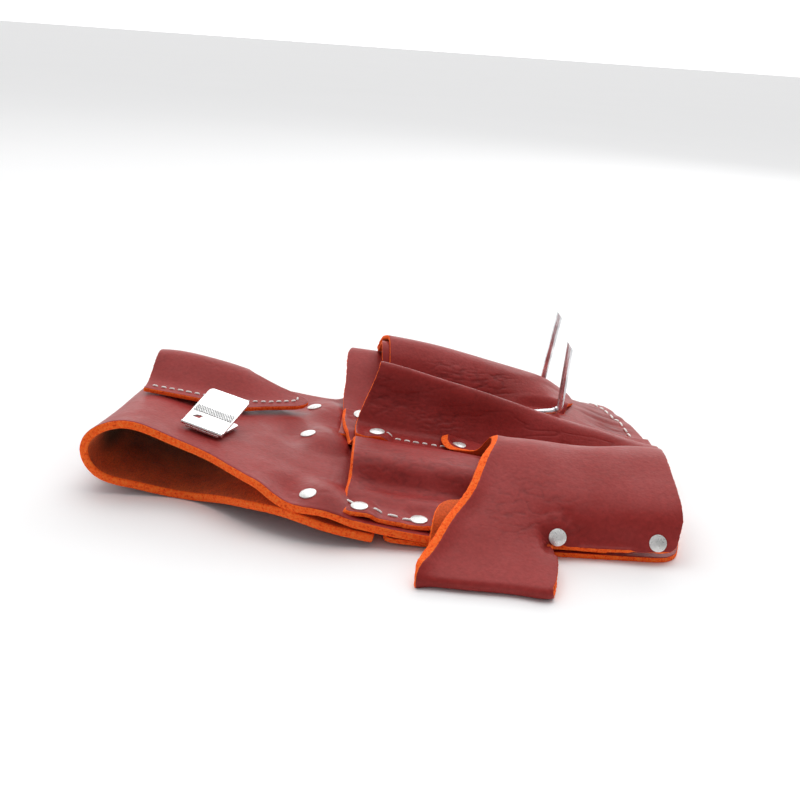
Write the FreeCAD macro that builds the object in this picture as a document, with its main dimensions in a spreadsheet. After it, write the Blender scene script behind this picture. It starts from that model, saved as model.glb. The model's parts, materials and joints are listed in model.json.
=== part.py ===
import FreeCAD, Part
import math
import os
from FreeCAD import Vector

# Leather tool pouch lying on its back. X runs from the belt tunnel to the bottom of the
# pouch, Y from the near side edge to the far one, Z up. Sizes in mm.
doc = FreeCAD.newDocument("tool_pouch")
sheet = doc.addObject("Spreadsheet::Sheet", "Sheet")
driving = {
    "pouch_width": 204.0,
    "strap_leather": 4.2,
    "panel_leather": 2.6,
    "pocket_leather": 2.4,
    "tunnel_left": -154.5,
    "panel_left": -6.0,
    "bottom_middle": 147.0,
    "bottom_bow": 19.0,
    "corner_radius": 8.0,
    "tongue_reach": 38.0,
    "loop_inset": 38.0,
    "loop_far_edge": 150.0,
    "rear_mouth": -30.0,
    "side_mouth": -25.0,
    "long_mouth": -22.0,
    "far_mouth": -8.0,
    "sheath_start": 5.0,
    "flap_left": -136.0,
    "flap_tip": -52.0,
    "rivet_cap": 8.0,
    "rivet_shank": 3.0,
    "rivet_burr": 7.5,
    "wire_size": 3.8,
    "prong_near": 130.5,
    "prong_far": 187.5,
    "prong_top": 66.0,
    "clip_length": 23.5,
    "clip_width": 27.0,
    "clip_steel": 0.9,
    "clip_gap": 2.1,
    "clip_tilt": 25.0,
    "thread_size": 1.0,
    "stitch_pitch": 6.5,
    "ply_gap": 0.4,
}
for row, (alias, value) in enumerate(driving.items(), start=1):
    sheet.set(f"A{row}", alias)
    sheet.set(f"B{row}", str(value))
    sheet.setAlias(f"B{row}", alias)
doc.recompute()


def size(alias):
    """A driving dimension, read from the sheet."""
    return float(sheet.get(alias))


WIDTH = size("pouch_width")
STRAP = size("strap_leather")
PANEL = size("panel_leather")
PLY = size("pocket_leather")
GAP = size("ply_gap")
MIDDLE = WIDTH / 2
# The origin is under the middle of the whole pouch.
CENTRE_X = (size("tunnel_left") + size("bottom_middle")) / 2
CENTRE_Y = (WIDTH - size("tongue_reach")) / 2
HOME = FreeCAD.Placement(Vector(-CENTRE_X, -CENTRE_Y, 0), FreeCAD.Rotation())
nodes = {}


# ---------------------------------------------------------------- shape helpers
def mix(start, end, share):
    return start + (end - start) * share


LIFT = 2.4
FLAT_FROM = 44.0


def panel_lift(x):
    """The back panel curls up a little at its left end, where the belt loop props it up."""
    share = max(0.0, FLAT_FROM - x) / (FLAT_FROM - size("panel_left"))
    return LIFT * share**2


def panel_top(x):
    return panel_lift(x) + PANEL


def curve_through(points):
    curve = Part.BSplineCurve()
    curve.interpolate([Vector(*point) for point in points])
    return curve


def sides(points, thickness):
    """The two faces of a leather path: the path moved half a thickness each way."""
    curve = curve_through([(a, b, 0) for a, b in points])
    left, right = [], []
    for a, b in points:
        along = curve.tangent(curve.parameter(Vector(a, b, 0)))[0]
        across = Vector(-along.y, along.x, 0) * (thickness / 2)
        left.append((a + across.x, b + across.y, 0))
        right.append((a - across.x, b - across.y, 0))
    return left, right


def ribbon(points, thickness):
    """The closed outline of a strip of leather that follows a path."""
    left, right = sides(points, thickness)
    return [
        curve_through(left),
        Part.LineSegment(Vector(*left[-1]), Vector(*right[-1])),
        curve_through(right),
        Part.LineSegment(Vector(*right[0]), Vector(*left[0])),
    ]


def polygon(points):
    corners = [Vector(a, b, 0) for a, b in points]
    return [Part.LineSegment(a, b) for a, b in zip(corners, corners[1:] + corners[:1])]


def new_body(name):
    body = doc.addObject("PartDesign::Body", name)
    body.Label = name
    nodes[name] = body
    return body


def new_sketch(body, name, role, offset, outline):
    """A sketch on one of the body's own planes; the offset is a number or an expression."""
    plane = [f for f in body.Origin.OriginFeatures if f.Role == role][0]
    sketch = body.newObject("Sketcher::SketchObject", name)
    sketch.AttachmentSupport = [(plane, "")]
    sketch.MapMode = "FlatFace"
    if isinstance(offset, str):
        sketch.setExpression("AttachmentOffset.Base.z", offset)
    else:
        sketch.AttachmentOffset = FreeCAD.Placement(Vector(0, 0, offset), FreeCAD.Rotation())
    for edge in outline:
        sketch.addGeometry(edge, False)
    return sketch


def cross_loft(body, stations, thickness):
    """A leather shell through strips drawn across the pouch, one at each X station."""
    sketches = []
    for number, (station, points) in enumerate(stations):
        label = f"{body.Name}_section_{number}"
        sketches.append(new_sketch(body, label, "YZ_Plane", station, ribbon(points, thickness)))
    doc.recompute()
    loft = body.newObject("PartDesign::AdditiveLoft", f"{body.Name}_shell")
    loft.Profile = sketches[0]
    loft.Sections = sketches[1:]
    loft.Ruled = True
    doc.recompute()
    return loft


def cut_down(body, name, outline, role="XY_Plane", offset=0):
    """A pocket right through the body, both ways from the sketch."""
    before = body.Shape.Volume
    sketch = new_sketch(body, f"{name}_outline", role, offset, outline)
    pocket = body.newObject("PartDesign::Pocket", name)
    pocket.Profile = sketch
    pocket.Type = "ThroughAll"
    pocket.Midplane = True
    doc.recompute()
    if body.Shape.Volume >= before:
        raise RuntimeError(f"{name} cuts nothing")
    return pocket


def hump(near, far, foot_near, foot_far, crest_at, crest, flange=9.0, fullness=0.75):
    """A path over a swelling pocket: a flat flange, the swelling, and a flat flange."""
    start, end = near + flange, far - flange
    lean = math.log(0.5) / math.log((crest_at - start) / (end - start))
    path = [(near, foot_near), (start - 2, foot_near)]
    for step in range(1, 8):
        share = step / 8
        foot = mix(foot_near, foot_far, share)
        swell = math.sin(math.pi * share**lean) ** fullness
        path.append((mix(start, end, share), foot + (crest - foot) * swell))
    return path + [(end + 2, foot_far), (far, foot_far)]


# ---------------------------------------------------------------- outlines seen from above
def past_the_bottom():
    """The waste past the bottom edge of the pouch: a bowed edge with two rounded corners."""
    middle, radius = size("bottom_middle"), size("corner_radius")
    edge = middle - size("bottom_bow")
    bend = radius * (1 - math.sqrt(0.5))
    corners = []
    for y, inward in [(0, 1), (WIDTH, -1)]:
        turn = Vector(edge - radius, y, 0)
        half = Vector(edge - bend, y + inward * bend, 0)
        end = Vector(edge, y + inward * radius, 0)
        corners.append((turn, half, end))
    near, far = corners
    outer = [(edge - radius, WIDTH + 40), (middle + 60, WIDTH + 40), (middle + 60, -80)]
    outer = [far[0]] + [Vector(x, y, 0) for x, y in outer] + [Vector(edge - radius, -80, 0), near[0]]
    return [
        Part.Arc(near[0], near[1], near[2]),
        Part.Arc(near[2], Vector(middle, MIDDLE, 0), far[2]),
        Part.Arc(far[2], far[1], far[0]),
    ] + [Part.LineSegment(start, end) for start, end in zip(outer, outer[1:])]


# ---------------------------------------------------------------- belt loop
LEG_END = 24.0


def loop_path(tunnel_top, droop=0.0, narrowing=0.0):
    """The side view of the belt loop: front leg, tunnel, back leg. One strap, folded."""
    left = size("tunnel_left") + narrowing + STRAP / 2
    belly = STRAP / 2 + 0.4
    shoulder = tunnel_top - STRAP / 2
    closure = 18.2 - droop
    apart = STRAP + 0.7
    lower = closure - apart
    rest = 7.8
    return [
        (LEG_END, panel_top(LEG_END) + GAP + STRAP / 2),
        (8, panel_top(8) + GAP + STRAP / 2),
        (-14, mix(rest, closure, 0.24)),
        (-30, mix(rest, closure, 0.62)),
        (-46, closure),
        (-66, mix(closure, shoulder, 0.25)),
        (-90, mix(closure, shoulder, 0.42)),
        (-108, mix(closure, shoulder, 0.60)),
        (-124, mix(closure, shoulder, 0.92)),
        (-137, shoulder),
        (left + 3, mix(belly, shoulder, 0.80)),
        (left, mix(belly, shoulder, 0.50)),
        (left + 7, mix(belly, shoulder, 0.20)),
        (-130, belly + 2.4),
        (-112, belly),
        (-95, belly + 1.6),
        (-77, mix(belly, lower, 0.70)),
        (-60, mix(belly, lower, 1.04)),
        (-46, lower),
        (-30, mix(rest, closure, 0.62) - apart),
        (-12, mix(rest, closure, 0.22) - apart),
    ]


def front_leg_tops():
    """Points along the upper face of the front leg, from its hidden end to the closure."""
    points = [(x, z, 0) for x, z in loop_path(34)]
    curve = curve_through(points)
    last = curve.parameter(Vector(*points[5]))
    tops = []
    for step in range(61):
        at = curve.FirstParameter + (last - curve.FirstParameter) * step / 60
        place, along = curve.value(at), curve.tangent(at)[0]
        tops.append((place.x, place.y + STRAP / 2 / abs(along.x)))
    return sorted(tops)


LEG_TOPS = front_leg_tops()


def leg_top(x):
    """How high the upper face of the front leg is, where the pocket flanges lie on it."""
    if x > LEG_END + 2:
        return panel_top(x)
    x = min(max(x, LEG_TOPS[0][0]), LEG_TOPS[-1][0])
    for (a, low), (b, high) in zip(LEG_TOPS, LEG_TOPS[1:]):
        if a <= x <= b:
            return mix(low, high, (x - a) / (b - a))


def side_waste(edge_points, outside):
    """The waste beside the loop, between its curved side edge and a straight line."""
    first, last = edge_points[0], edge_points[-1]
    return [
        curve_through([(x, y, 0) for x, y in edge_points]),
        Part.LineSegment(Vector(*last, 0), Vector(last[0], outside, 0)),
        Part.LineSegment(Vector(last[0], outside, 0), Vector(first[0], outside, 0)),
        Part.LineSegment(Vector(first[0], outside, 0), Vector(*first, 0)),
    ]


def near_edge():
    """The near side edge: an S-curve that narrows the strap towards the tunnel."""
    inset = size("loop_inset")
    run = [(30, -2), (-18, -2), (-38, -1), (-56, 5), (-75, 16), (-92, 30), (-108, inset - 1)]
    return run + [(-124, inset), (-170, inset)]


def far_edge():
    """The far side edge: straight along the tunnel, then flaring under the rear pocket."""
    edge = size("loop_far_edge")
    run = [(30, WIDTH), (-14, WIDTH), (-24, 190), (-30, 164), (-40, edge - 2), (-60, edge - 3)]
    return run + [(-100, edge), (-170, edge)]


def belt_loop():
    body = new_body("belt_loop")
    sections = []
    shape = [(0, 43.5, 1.8, -4.0), (MIDDLE - 15, 33.6, 0.0, 4.0), (WIDTH, 22.0, 7.0, 13.0)]
    for number, (y, top, droop, narrowing) in enumerate(shape):
        outline = ribbon(loop_path(top, droop, narrowing), STRAP)
        sections.append(new_sketch(body, f"loop_section_{number}", "XZ_Plane", -y, outline))
    doc.recompute()
    loft = body.newObject("PartDesign::AdditiveLoft", "loop_strap")
    loft.Profile = sections[0]
    loft.Sections = sections[1:]
    doc.recompute()
    cut_down(body, "near_side_curve", side_waste(near_edge(), -30))
    cut_down(body, "far_side_curve", side_waste(far_edge(), WIDTH + 30))


def back_panel():
    body = new_body("back_panel")
    left, half, right = size("panel_left"), 20.0, size("bottom_middle") + 10
    faces = []
    for z in (0, PANEL):
        curl = [Vector(x, panel_lift(x) + z, 0) for x in (left, half, FLAT_FROM)]
        faces.append(Part.Arc(*curl))
        faces.append(Part.LineSegment(curl[-1], Vector(right, z, 0)))
    faces.append(Part.LineSegment(Vector(right, 0, 0), Vector(right, PANEL, 0)))
    faces.append(Part.LineSegment(Vector(left, LIFT, 0), Vector(left, LIFT + PANEL, 0)))
    sketch = new_sketch(body, "panel_profile", "XZ_Plane", 0, faces)
    pad = body.newObject("PartDesign::Pad", "panel_pad")
    pad.Profile = sketch
    pad.setExpression("Length", "Sheet.pouch_width")
    pad.Reversed = True
    doc.recompute()
    cut_down(body, "panel_bottom_edge", past_the_bottom())


# ---------------------------------------------------------------- pockets
REAR_CRESTS = [(-30, 38.0), (0, 35.5), (26, 31.0), (36, 29.2), (62, 25.5), (90, 22.0)]
REAR_CRESTS += [(116, 14.0), (150, 9.5)]


def rear_path(x, crest):
    """Across the rear pocket: a low near flange, swelling towards the far side."""
    foot = leg_top(x) + GAP + PLY / 2
    towards_bottom = min(max((x - 36) / (90 - 36), 0.0), 1.0)
    crest_at = mix(177, 150, towards_bottom)
    fullness = mix(0.75, 0.55, towards_bottom)
    return hump(88, WIDTH, foot, foot, crest_at, max(crest, foot + 0.6), 7, fullness)


def rear_pocket():
    """The wide pocket at the back; its mouth is at the belt end."""
    body = new_body("rear_pocket")
    stations = [("Sheet.rear_mouth", rear_path(size("rear_mouth"), REAR_CRESTS[0][1]))]
    stations += [(x, rear_path(x, crest)) for x, crest in REAR_CRESTS[1:]]
    cross_loft(body, stations, PLY)
    cut_down(body, "rear_bottom_edge", past_the_bottom())


def rear_top(x, y):
    """How high the upper face of the rear pocket is."""
    x = min(x, REAR_CRESTS[-1][0])
    for (a, high), (b, low) in zip(REAR_CRESTS, REAR_CRESTS[1:]):
        if a <= x <= b:
            crest = mix(high, low, (x - a) / (b - a))
    path = rear_path(x, crest)
    for (a, low), (b, high) in zip(path, path[1:]):
        if a <= y <= b:
            return mix(low, high, (y - a) / (b - a)) + PLY / 2
    return path[0][1] + PLY / 2


def side_path(x, crest):
    """Across the side pocket: near flange, swelling, valley, and a flange over the rear pocket."""
    foot = leg_top(x) + GAP + PLY / 2 + 0.3
    near = foot
    path = hump(0.5, 88, near, foot, 58, crest, flange=15, fullness=0.8)[:-1]
    over = [(86, 90, 0.5), (91, 91, 0.8), (96, 96, 1.2), (102, 102, 1.6), (109, 109, 1.9), (116, 116, 2.0)]
    return path + [(y, rear_top(x, at) + GAP + PLY / 2 + rise) for y, at, rise in over]


SIDE_CRESTS = [("side_mouth", 27.0), (0, 24.4), (26, 22.0), (36, 20.8), (60, 18.5), (96, 14.0)]


def side_pocket():
    body = new_body("side_pocket")
    stations = []
    for place, crest in SIDE_CRESTS:
        x = size(place) if isinstance(place, str) else place
        station = f"Sheet.{place}" if isinstance(place, str) else x
        stations.append((station, side_path(x, crest)))
    cross_loft(body, stations, PLY)


def long_path(x, crest):
    """Across the long pocket: its near flange lies over the side pocket's far flange."""
    low = rear_top(x, 92) + PLY + 2 * GAP + PLY / 2 + 2.1
    far = rear_top(x, 127) + GAP + PLY / 2 + 1.2
    return hump(79, 127, low, far, 109, max(crest, low + 1.0), flange=12, fullness=0.7)


def long_pocket():
    body = new_body("long_pocket")
    stations = []
    shape = [("long_mouth", 52.0), (0, 49.5), (26, 44.5), (36, 42.0), (56, 36.5), (90, 26.0), (116, 19.5)]
    for place, crest in shape + [(150, 16.0)]:
        x = size(place) if isinstance(place, str) else place
        station = f"Sheet.{place}" if isinstance(place, str) else x
        stations.append((station, long_path(x, crest)))
    cross_loft(body, stations, PLY)
    # The mouth leans back: its top is further down the pouch than its foot.
    lean = polygon([(20, 300), (-60, 300), (-60, 0), (-21, 14), (-11, 52)])
    cut_down(body, "long_mouth_lean", lean, role="XZ_Plane")
    cut_down(body, "long_bottom_edge", past_the_bottom())


def far_path(x, crest):
    """Across the far loop: an arch between two narrow feet on the rear pocket."""
    near = rear_top(x, 140) + GAP + PLY / 2 + 2.0
    far = rear_top(x, 178) + GAP + PLY / 2 + 1.6
    return hump(134.5, 183, near, far, 160, crest, flange=5, fullness=0.6)


def far_loop():
    """The open-ended loop at the far side: both ends are open."""
    body = new_body("far_tool_loop")
    stations = []
    for place, crest in [("far_mouth", 52.0), (20, 47.0), (50, 41.5), (76, 35.0), (92, 29.0)]:
        x = size(place) if isinstance(place, str) else place
        station = f"Sheet.{place}" if isinstance(place, str) else x
        stations.append((station, far_path(x, crest)))
    cross_loft(body, stations, PLY)



# ---------------------------------------------------------------- side sheath
def sheath_path(x, crest_at, crest, low, fold_at, fold_z, back):
    """Across the sheath: far flange, swelling, down the near side, a fold, and back in."""
    foot = rear_top(x, 92) + 2.5 * PLY + 3 * GAP + 5.4
    (low_y, low_z), (back_y, back_z) = low, back
    rise = crest - foot
    turn = 2.1
    path = [(92, foot), (84, foot + 0.8), (mix(84, crest_at, 0.45), foot + 0.62 * rise)]
    path += [(crest_at, crest), (mix(crest_at, low_y, 0.5), mix(crest, low_z, 0.28))]
    path += [(low_y, low_z), (mix(low_y, fold_at + turn, 0.55), mix(low_z, fold_z + turn, 0.6))]
    for quarter in (90, 135, 180, 225, 270):
        angle = math.radians(quarter)
        bend = (fold_at + turn + turn * math.cos(angle), fold_z + turn * math.sin(angle))
        path.append(bend)
    path += [(mix(fold_at + turn, back_y, 0.4), mix(fold_z - turn, back_z, 0.25)), (back_y, back_z)]
    return path


def pliers_sheath():
    body = new_body("pliers_sheath")
    tongue = -size("tongue_reach") + PLY / 2
    sections = [
        ("sheath_start", 60, 30.0, (-2, 13.5), tongue + 6, 3.6, (12, 14.2)),
        (30, 58, 33.5, (-2, 14.5), tongue + 2, 3.6, (12, 14.2)),
        (56, 56, 35.0, (-2, 14.0), tongue, 3.6, (10, 11.0)),
        (74, 55, 34.8, (1, 15.0), -16, 4.2, (9, 10.0)),
        (94, 54, 34.5, (4, 18.0), -7, 5.4, (9, 10.5)),
        (116, 53, 34.3, (4, 18.0), -7, 5.4, (9, 10.5)),
        (130, 52, 33.5, (4, 18.0), -7, 5.4, (9, 10.5)),
    ]
    stations = []
    for place, *shape in sections:
        x = size(place) if isinstance(place, str) else place
        station = f"Sheet.{place}" if isinstance(place, str) else x
        stations.append((station, sheath_path(x, *shape)))
    cross_loft(body, stations, PLY)
    mouth = [(-20, 120), (26, 120), (26, 88), (45, 58), (31, 16), (18, -4), (7, -26), (5, -60)]
    cut_down(body, "sheath_mouth", polygon(mouth + [(-20, -60)]))
    beside = [(70, -60), (70, -12), (74, -1.6), (160, -1.6), (160, -60)]
    cut_down(body, "sheath_side", polygon(beside))


# ---------------------------------------------------------------- tool flap on the tunnel
def flap_base(x):
    """The tunnel's upper face under the tool flap."""
    return 31.6 + (x + 111) * -0.135 + 0.9


def tool_flap():
    body = new_body("tool_flap")
    shape = [("flap_left", 44.0), (-112, 42.6), (-86, 36.0), (-70, 29.0)]
    stations = []
    for place, crest in shape:
        x = size(place) if isinstance(place, str) else place
        foot = flap_base(x)
        path = hump(91, 148, foot, foot - 2.6, 126, crest, flange=9, fullness=0.8)
        stations.append((f"Sheet.{place}" if isinstance(place, str) else x, path))
    x, foot = size("flap_tip"), flap_base(size("flap_tip"))
    stations.append(("Sheet.flap_tip", hump(91, 148, foot, foot - 2.6, 126, foot - 0.5, flange=9)))
    cross_loft(body, stations, PLY)
    tip = size("flap_tip")
    far = [(-86, 170), (-86, 140), (-82, 128), (-74, 122), (-62, 120), (tip - 2, 119), (tip, 114)]
    near = [(tip - 1, 109), (tip - 5, 105), (-72, 98), (-90, 88), (-90, 60), (-20, 60), (-20, 170)]
    cut_down(body, "flap_outline", polygon(far + near))


# ---------------------------------------------------------------- tape clip
def clip_placement(above, tilt):
    """Where a leaf of the clip sits: its bent edge is at the near side, skewed to the tunnel."""
    skew = FreeCAD.Rotation(Vector(0, 0, 1), -22)
    lean = FreeCAD.Rotation(Vector(0, 1, 0), 8)
    turn = FreeCAD.Rotation(Vector(1, 0, 0), tilt)
    seat = Vector(-99.0, 50.5, 30.2) + lean.multVec(Vector(0, 0, above))
    return FreeCAD.Placement(seat, lean.multiply(skew).multiply(turn))


def clip_leaf(name, length, width, low, corner):
    """One leaf of the clip: a steel plate with rounded corners, drawn from its bent edge."""
    body = new_body(name)
    steel = size("clip_steel")
    half = length / 2
    corners = [(-half, 0), (half, 0), (half, width), (-half, width)]
    sketch = new_sketch(body, f"{name}_outline", "XY_Plane", low, polygon(corners))
    pad = body.newObject("PartDesign::Pad", f"{name}_plate")
    pad.Profile = sketch
    pad.setExpression("Length", "Sheet.clip_steel")
    doc.recompute()
    upright = []
    for number, edge in enumerate(pad.Shape.Edges, start=1):
        ends = [v.Point for v in edge.Vertexes]
        if abs(abs(ends[0].z - ends[1].z) - steel) < 1e-6 and ends[0].y > width / 2:
            upright.append(f"Edge{number}")
    fillet = body.newObject("PartDesign::Fillet", f"{name}_corners")
    fillet.Base = (pad, upright)
    fillet.Radius = corner
    doc.recompute()
    return body


def tape_clip():
    """The clip: a leaf on the leather, and a springy leaf with a rolled edge that tips up."""
    length, width, steel = size("clip_length"), size("clip_width"), size("clip_steel")
    base = clip_leaf("tape_clip_base", length - 5, width - 6, 0, 2.0)
    tongue = clip_leaf("tape_clip_tongue", length, width, -steel / 2, 2.4)
    roll = [Part.Circle(Vector(0, 0, 0), Vector(0, 0, 1), steel + 0.1)]
    sketch = new_sketch(tongue, "rolled_edge_section", "YZ_Plane", 0, roll)
    pad = tongue.newObject("PartDesign::Pad", "rolled_edge")
    pad.Profile = sketch
    pad.Midplane = True
    pad.setExpression("Length", "Sheet.clip_length")
    doc.recompute()
    slot = [
        Part.LineSegment(Vector(-9, 5, 0), Vector(-2, 5, 0)),
        Part.Arc(Vector(-2, 5, 0), Vector(-5.5, 7.4, 0), Vector(-9, 5, 0)),
    ]
    cut_down(tongue, "half_moon_slot", slot)
    return base, tongue


# ---------------------------------------------------------------- metal parts
def feature(name, shape):
    part = doc.addObject("Part::Feature", name)
    part.Label = name
    part.Shape = shape
    nodes[name] = part
    return part


def turned(outline):
    """A solid turned about Z from half its outline, which starts and ends on the axis."""
    outline = outline + [Part.LineSegment(outline[-1].EndPoint, outline[0].StartPoint)]
    face = Part.Face(Part.Wire([edge.toShape() for edge in outline]))
    return face.revolve(Vector(0, 0, 0), Vector(0, 0, 1), 360)


def placed(shape, place, axis):
    """The shape moved to a place, with its own Z turned to point along an axis."""
    turn = FreeCAD.Rotation(Vector(0, 0, 1), Vector(*axis))
    shape.Placement = FreeCAD.Placement(Vector(*place), turn)
    return shape


def cap_arc(radius, rim, crown):
    """The arc of a domed cap, from its rim up to its crown."""
    rise = crown - rim
    ball = (radius**2 + rise**2) / (2 * rise)
    half = math.asin(radius / ball) / 2
    middle = Vector(ball * math.sin(half), 0, crown - ball * (1 - math.cos(half)))
    return Part.Arc(Vector(radius, 0, rim), middle, Vector(0, 0, crown))


def rivet(place, axis, length):
    """A rivet: a domed cap above the leather and a shank down through it."""
    cap, shank = size("rivet_cap") / 2, size("rivet_shank") / 2
    rim, crown, under = 0.5, 1.5, 0.05
    steps = [(0, -length), (shank, -length), (shank, under), (cap, under), (cap, rim)]
    steps = [Vector(x, 0, z) for x, z in steps]
    outline = [Part.LineSegment(start, end) for start, end in zip(steps, steps[1:])]
    return placed(turned(outline + [cap_arc(cap, rim, crown)]), place, axis)


def burr(place, axis, depth):
    """The washer that closes a rivet on the far side of the leather."""
    ring = Part.makeCylinder(size("rivet_burr") / 2, 0.8, Vector(0, 0, -depth - 0.9))
    hole = Part.makeCylinder(size("rivet_shank") / 2 + 0.05, 4, Vector(0, 0, -depth - 2))
    return placed(ring.cut(hole), place, axis)


def rivet_group(name, places):
    """Rivets that share one node, and their burrs, which share another."""
    feature(f"{name}_rivets", Part.makeCompound([rivet(p, a, d + 0.8) for p, a, d in places]))
    feature(f"{name}_burrs", Part.makeCompound([burr(p, a, d) for p, a, d in places]))


def hammer_prongs():
    """Two bent steel wires: a foot along the rear pocket, a tight bend, an upright tip."""
    wire = size("wire_size") / 2
    prongs = []
    low, high = size("prong_top"), size("prong_top") + 3
    seat = wire + 0.9
    wires = [(size("prong_near"), 87.0, 93.6, low), (size("prong_far"), 85.0, 96.5, high)]
    for y, turn_x, tip_x, tip_z in wires:
        start = Vector(62, y, rear_top(62, y - 2) + seat)
        turn = Vector(turn_x, y, rear_top(turn_x, y - 2) + seat)
        tip = Vector(tip_x, y, tip_z)
        along = (turn - start).normalize()
        rise_from = Vector(turn.x + 5.4, y, turn.z + 4.0)
        upward = (tip - rise_from).normalize()
        middle = turn + along * 3.4 + Vector(0, 0, 0.9)
        foot = Part.LineSegment(start, turn).toShape()
        bend = Part.BSplineCurve()
        bend.interpolate([turn, middle, rise_from], InitialTangent=along, FinalTangent=upward)
        stem = Part.LineSegment(rise_from, tip).toShape()
        path = Part.Wire([foot, bend.toShape(), stem])
        ring = Part.Wire([Part.makeCircle(wire, start, along)])
        shear = Part.makeBox(20, 20, 20, Vector(-10, -10, 0))
        turn_over = FreeCAD.Rotation(Vector(0, 1, 0), 52)
        shear.Placement = FreeCAD.Placement(tip - upward * 2.6, turn_over)
        shear.translate(turn_over.multVec(Vector(0, 0, 0.2)))
        prongs.append(path.makePipeShell([ring], True, True).cut(shear))
    feature("hammer_prongs", Part.makeCompound(prongs))


def prong_saddles():
    """The steel saddles that hold the two wire feet down on the rear pocket."""
    wire, steel = size("wire_size") / 2, 0.9
    saddles = []
    for y in (size("prong_near"), size("prong_far")):
        z = rear_top(70, y - 2) + wire + 0.9
        outer = Part.makeCylinder(wire + 0.3 + steel, 8, Vector(66, y, z), Vector(1, 0, 0))
        inner = Part.makeCylinder(wire + 0.3, 10, Vector(65, y, z), Vector(1, 0, 0))
        slope = math.degrees(math.atan((rear_top(85, y) - rear_top(62, y)) / 23))
        saddle = outer.cut(inner)
        saddle.rotate(Vector(70, y, z), Vector(0, 1, 0), -slope)
        keep = Part.makeBox(20, 20, 10, Vector(60, y - 10, z - 0.4))
        saddles.append(saddle.common(keep))
    feature("prong_saddles", Part.makeCompound(saddles))


# ---------------------------------------------------------------- stitching
def stitch(start, end):
    """One stitch: a short thick thread with round ends."""
    radius = size("thread_size") / 2
    along = end - start
    round_part = radius * math.sqrt(0.5)
    run = along.Length
    low = [Vector(0, 0, -radius), Vector(round_part, 0, -round_part), Vector(radius, 0, 0)]
    high = [Vector(radius, 0, run), Vector(round_part, 0, run + round_part), Vector(0, 0, run + radius)]
    outline = [Part.Arc(*low), Part.LineSegment(low[-1], high[0]), Part.Arc(*high)]
    return placed(turned(outline), start, along)


def seam(name, path, share=0.62):
    """Stitches along a path of points, one after another at the stitch pitch."""
    curve = curve_through(path)
    run = curve.length()
    count = max(2, round(run / size("stitch_pitch")))
    marks = []
    for number in range(count):
        first = curve.parameterAtDistance(run * number / count, curve.FirstParameter)
        last = curve.parameterAtDistance(run * (number + share) / count, curve.FirstParameter)
        marks.append(stitch(curve.value(first), curve.value(last)))
    feature(name, Part.makeCompound(marks))


def stitching():
    rise = size("thread_size") / 2 + 0.15
    top = PLY / 2 + rise
    near_foot = [(x, 6, leg_top(x) + GAP + PLY + rise + (-1.6 if x < 0 else 0)) for x in (-16, -4, 8)]
    near_foot += [(x, 6, leg_top(x) + GAP + PLY + rise + 0.3) for x in (14, 20)]
    seam("side_pocket_stitching", near_foot)
    over = [(x, 84, long_path(x, 40)[0][1] + top + 0.2) for x in (-7, 4, 16, 27)]
    seam("long_pocket_stitching", over)
    flap = [(x, 96.5, flap_base(x) + top + 0.4) for x in (-133, -112, -92)]
    flap += [(-76, 100, flap_base(-76) + top + 0.6), (-62, 107, flap_base(-62) + top + 0.6)]
    seam("tool_flap_stitching", flap + [(-56, 113, flap_base(-56) + top + 0.6)], 0.55)
    middle, bow = size("bottom_middle"), size("bottom_bow")
    bottom = []
    for y in (104, 130, 156, 180, 196):
        edge = middle - bow * ((y - MIDDLE) / MIDDLE) ** 2 - 7
        bottom.append((edge, y, rear_top(edge, y) + rise + (4.2 if y < 128 else 0.2)))
    seam("bottom_stitching", bottom)


def build():
    belt_loop()
    back_panel()
    rear_pocket()
    side_pocket()
    long_pocket()
    far_loop()
    pliers_sheath()
    tool_flap()
    hammer_prongs()
    prong_saddles()
    rivet_group("closure", [
        ((-42.5, 10, 19.4), (-0.22, -0.12, 1), 9.2),
        ((-48.3, 80, 20.9), (-0.22, 0, 1), 9.2),
        ((-48.3, 124, 19.6), (-0.22, 0.05, 1), 9.2),
    ])
    rivet_group("sheath", [
        ((72.6, -1.6, 10.7), (0, -1, 0.45), 6.0),
        ((118.7, -1.6, 10.7), (0, -1, 0.45), 6.0),
    ])
    rivet_group("side_pocket", [
        ((-18.5, 6, leg_top(-18.5) + GAP + PLY + 0.3), (0, 0, 1), PLY + STRAP + 2 * GAP),
        ((9.3, 6, leg_top(9.3) + GAP + PLY + 0.3), (0, 0, 1), PLY + STRAP + 2 * GAP),
        ((-21.5, 112, rear_top(-21.5, 112) + GAP + PLY + 0.8), (0, -0.2, 1), 2 * PLY + 2),
    ])
    rivet_group("long_pocket", [
        ((-12, 84, long_path(-12, 40)[0][1] + PLY / 2 + 0.3), (0, 0, 1), 3 * PLY),
        ((32, 87, leg_top(32) + 4 * PLY + 3 * GAP + 3.0), (0, 0, 1), 4 * PLY + 2),
    ])
    stitching()
    base, tongue = tape_clip()
    doc.recompute()
    for part in nodes.values():
        part.Placement = HOME.multiply(part.Placement)
    base.Placement = HOME.multiply(clip_placement(0, 0))
    tongue.Placement = HOME.multiply(clip_placement(size("clip_gap"), size("clip_tilt")))
    doc.recompute()


def export():
    for item in doc.Objects:
        if "Invalid" in item.State or "Error" in item.State:
            raise RuntimeError(f"{item.Name} is in state {item.State}")
    os.makedirs("parts", exist_ok=True)
    for name, part in nodes.items():
        if part.Shape.isNull() or not part.Shape.isValid():
            raise RuntimeError(f"{name} has no valid shape")
        part.Shape.exportStep(f"parts/{name}.step")
        print(name, part.Shape.BoundBox, len(part.Shape.Solids), round(part.Shape.Volume))


build()
export()
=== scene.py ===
"""The looks of a leather tool pouch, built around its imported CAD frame.

The leather is shaped in millimetres in the pouch's own directions: X from the belt tunnel to
the bottom, Y from the near side edge to the far one, Z up from the floor. new_mesh moves
every piece to its place in the frame, in metres.
"""

import json
import math

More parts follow.
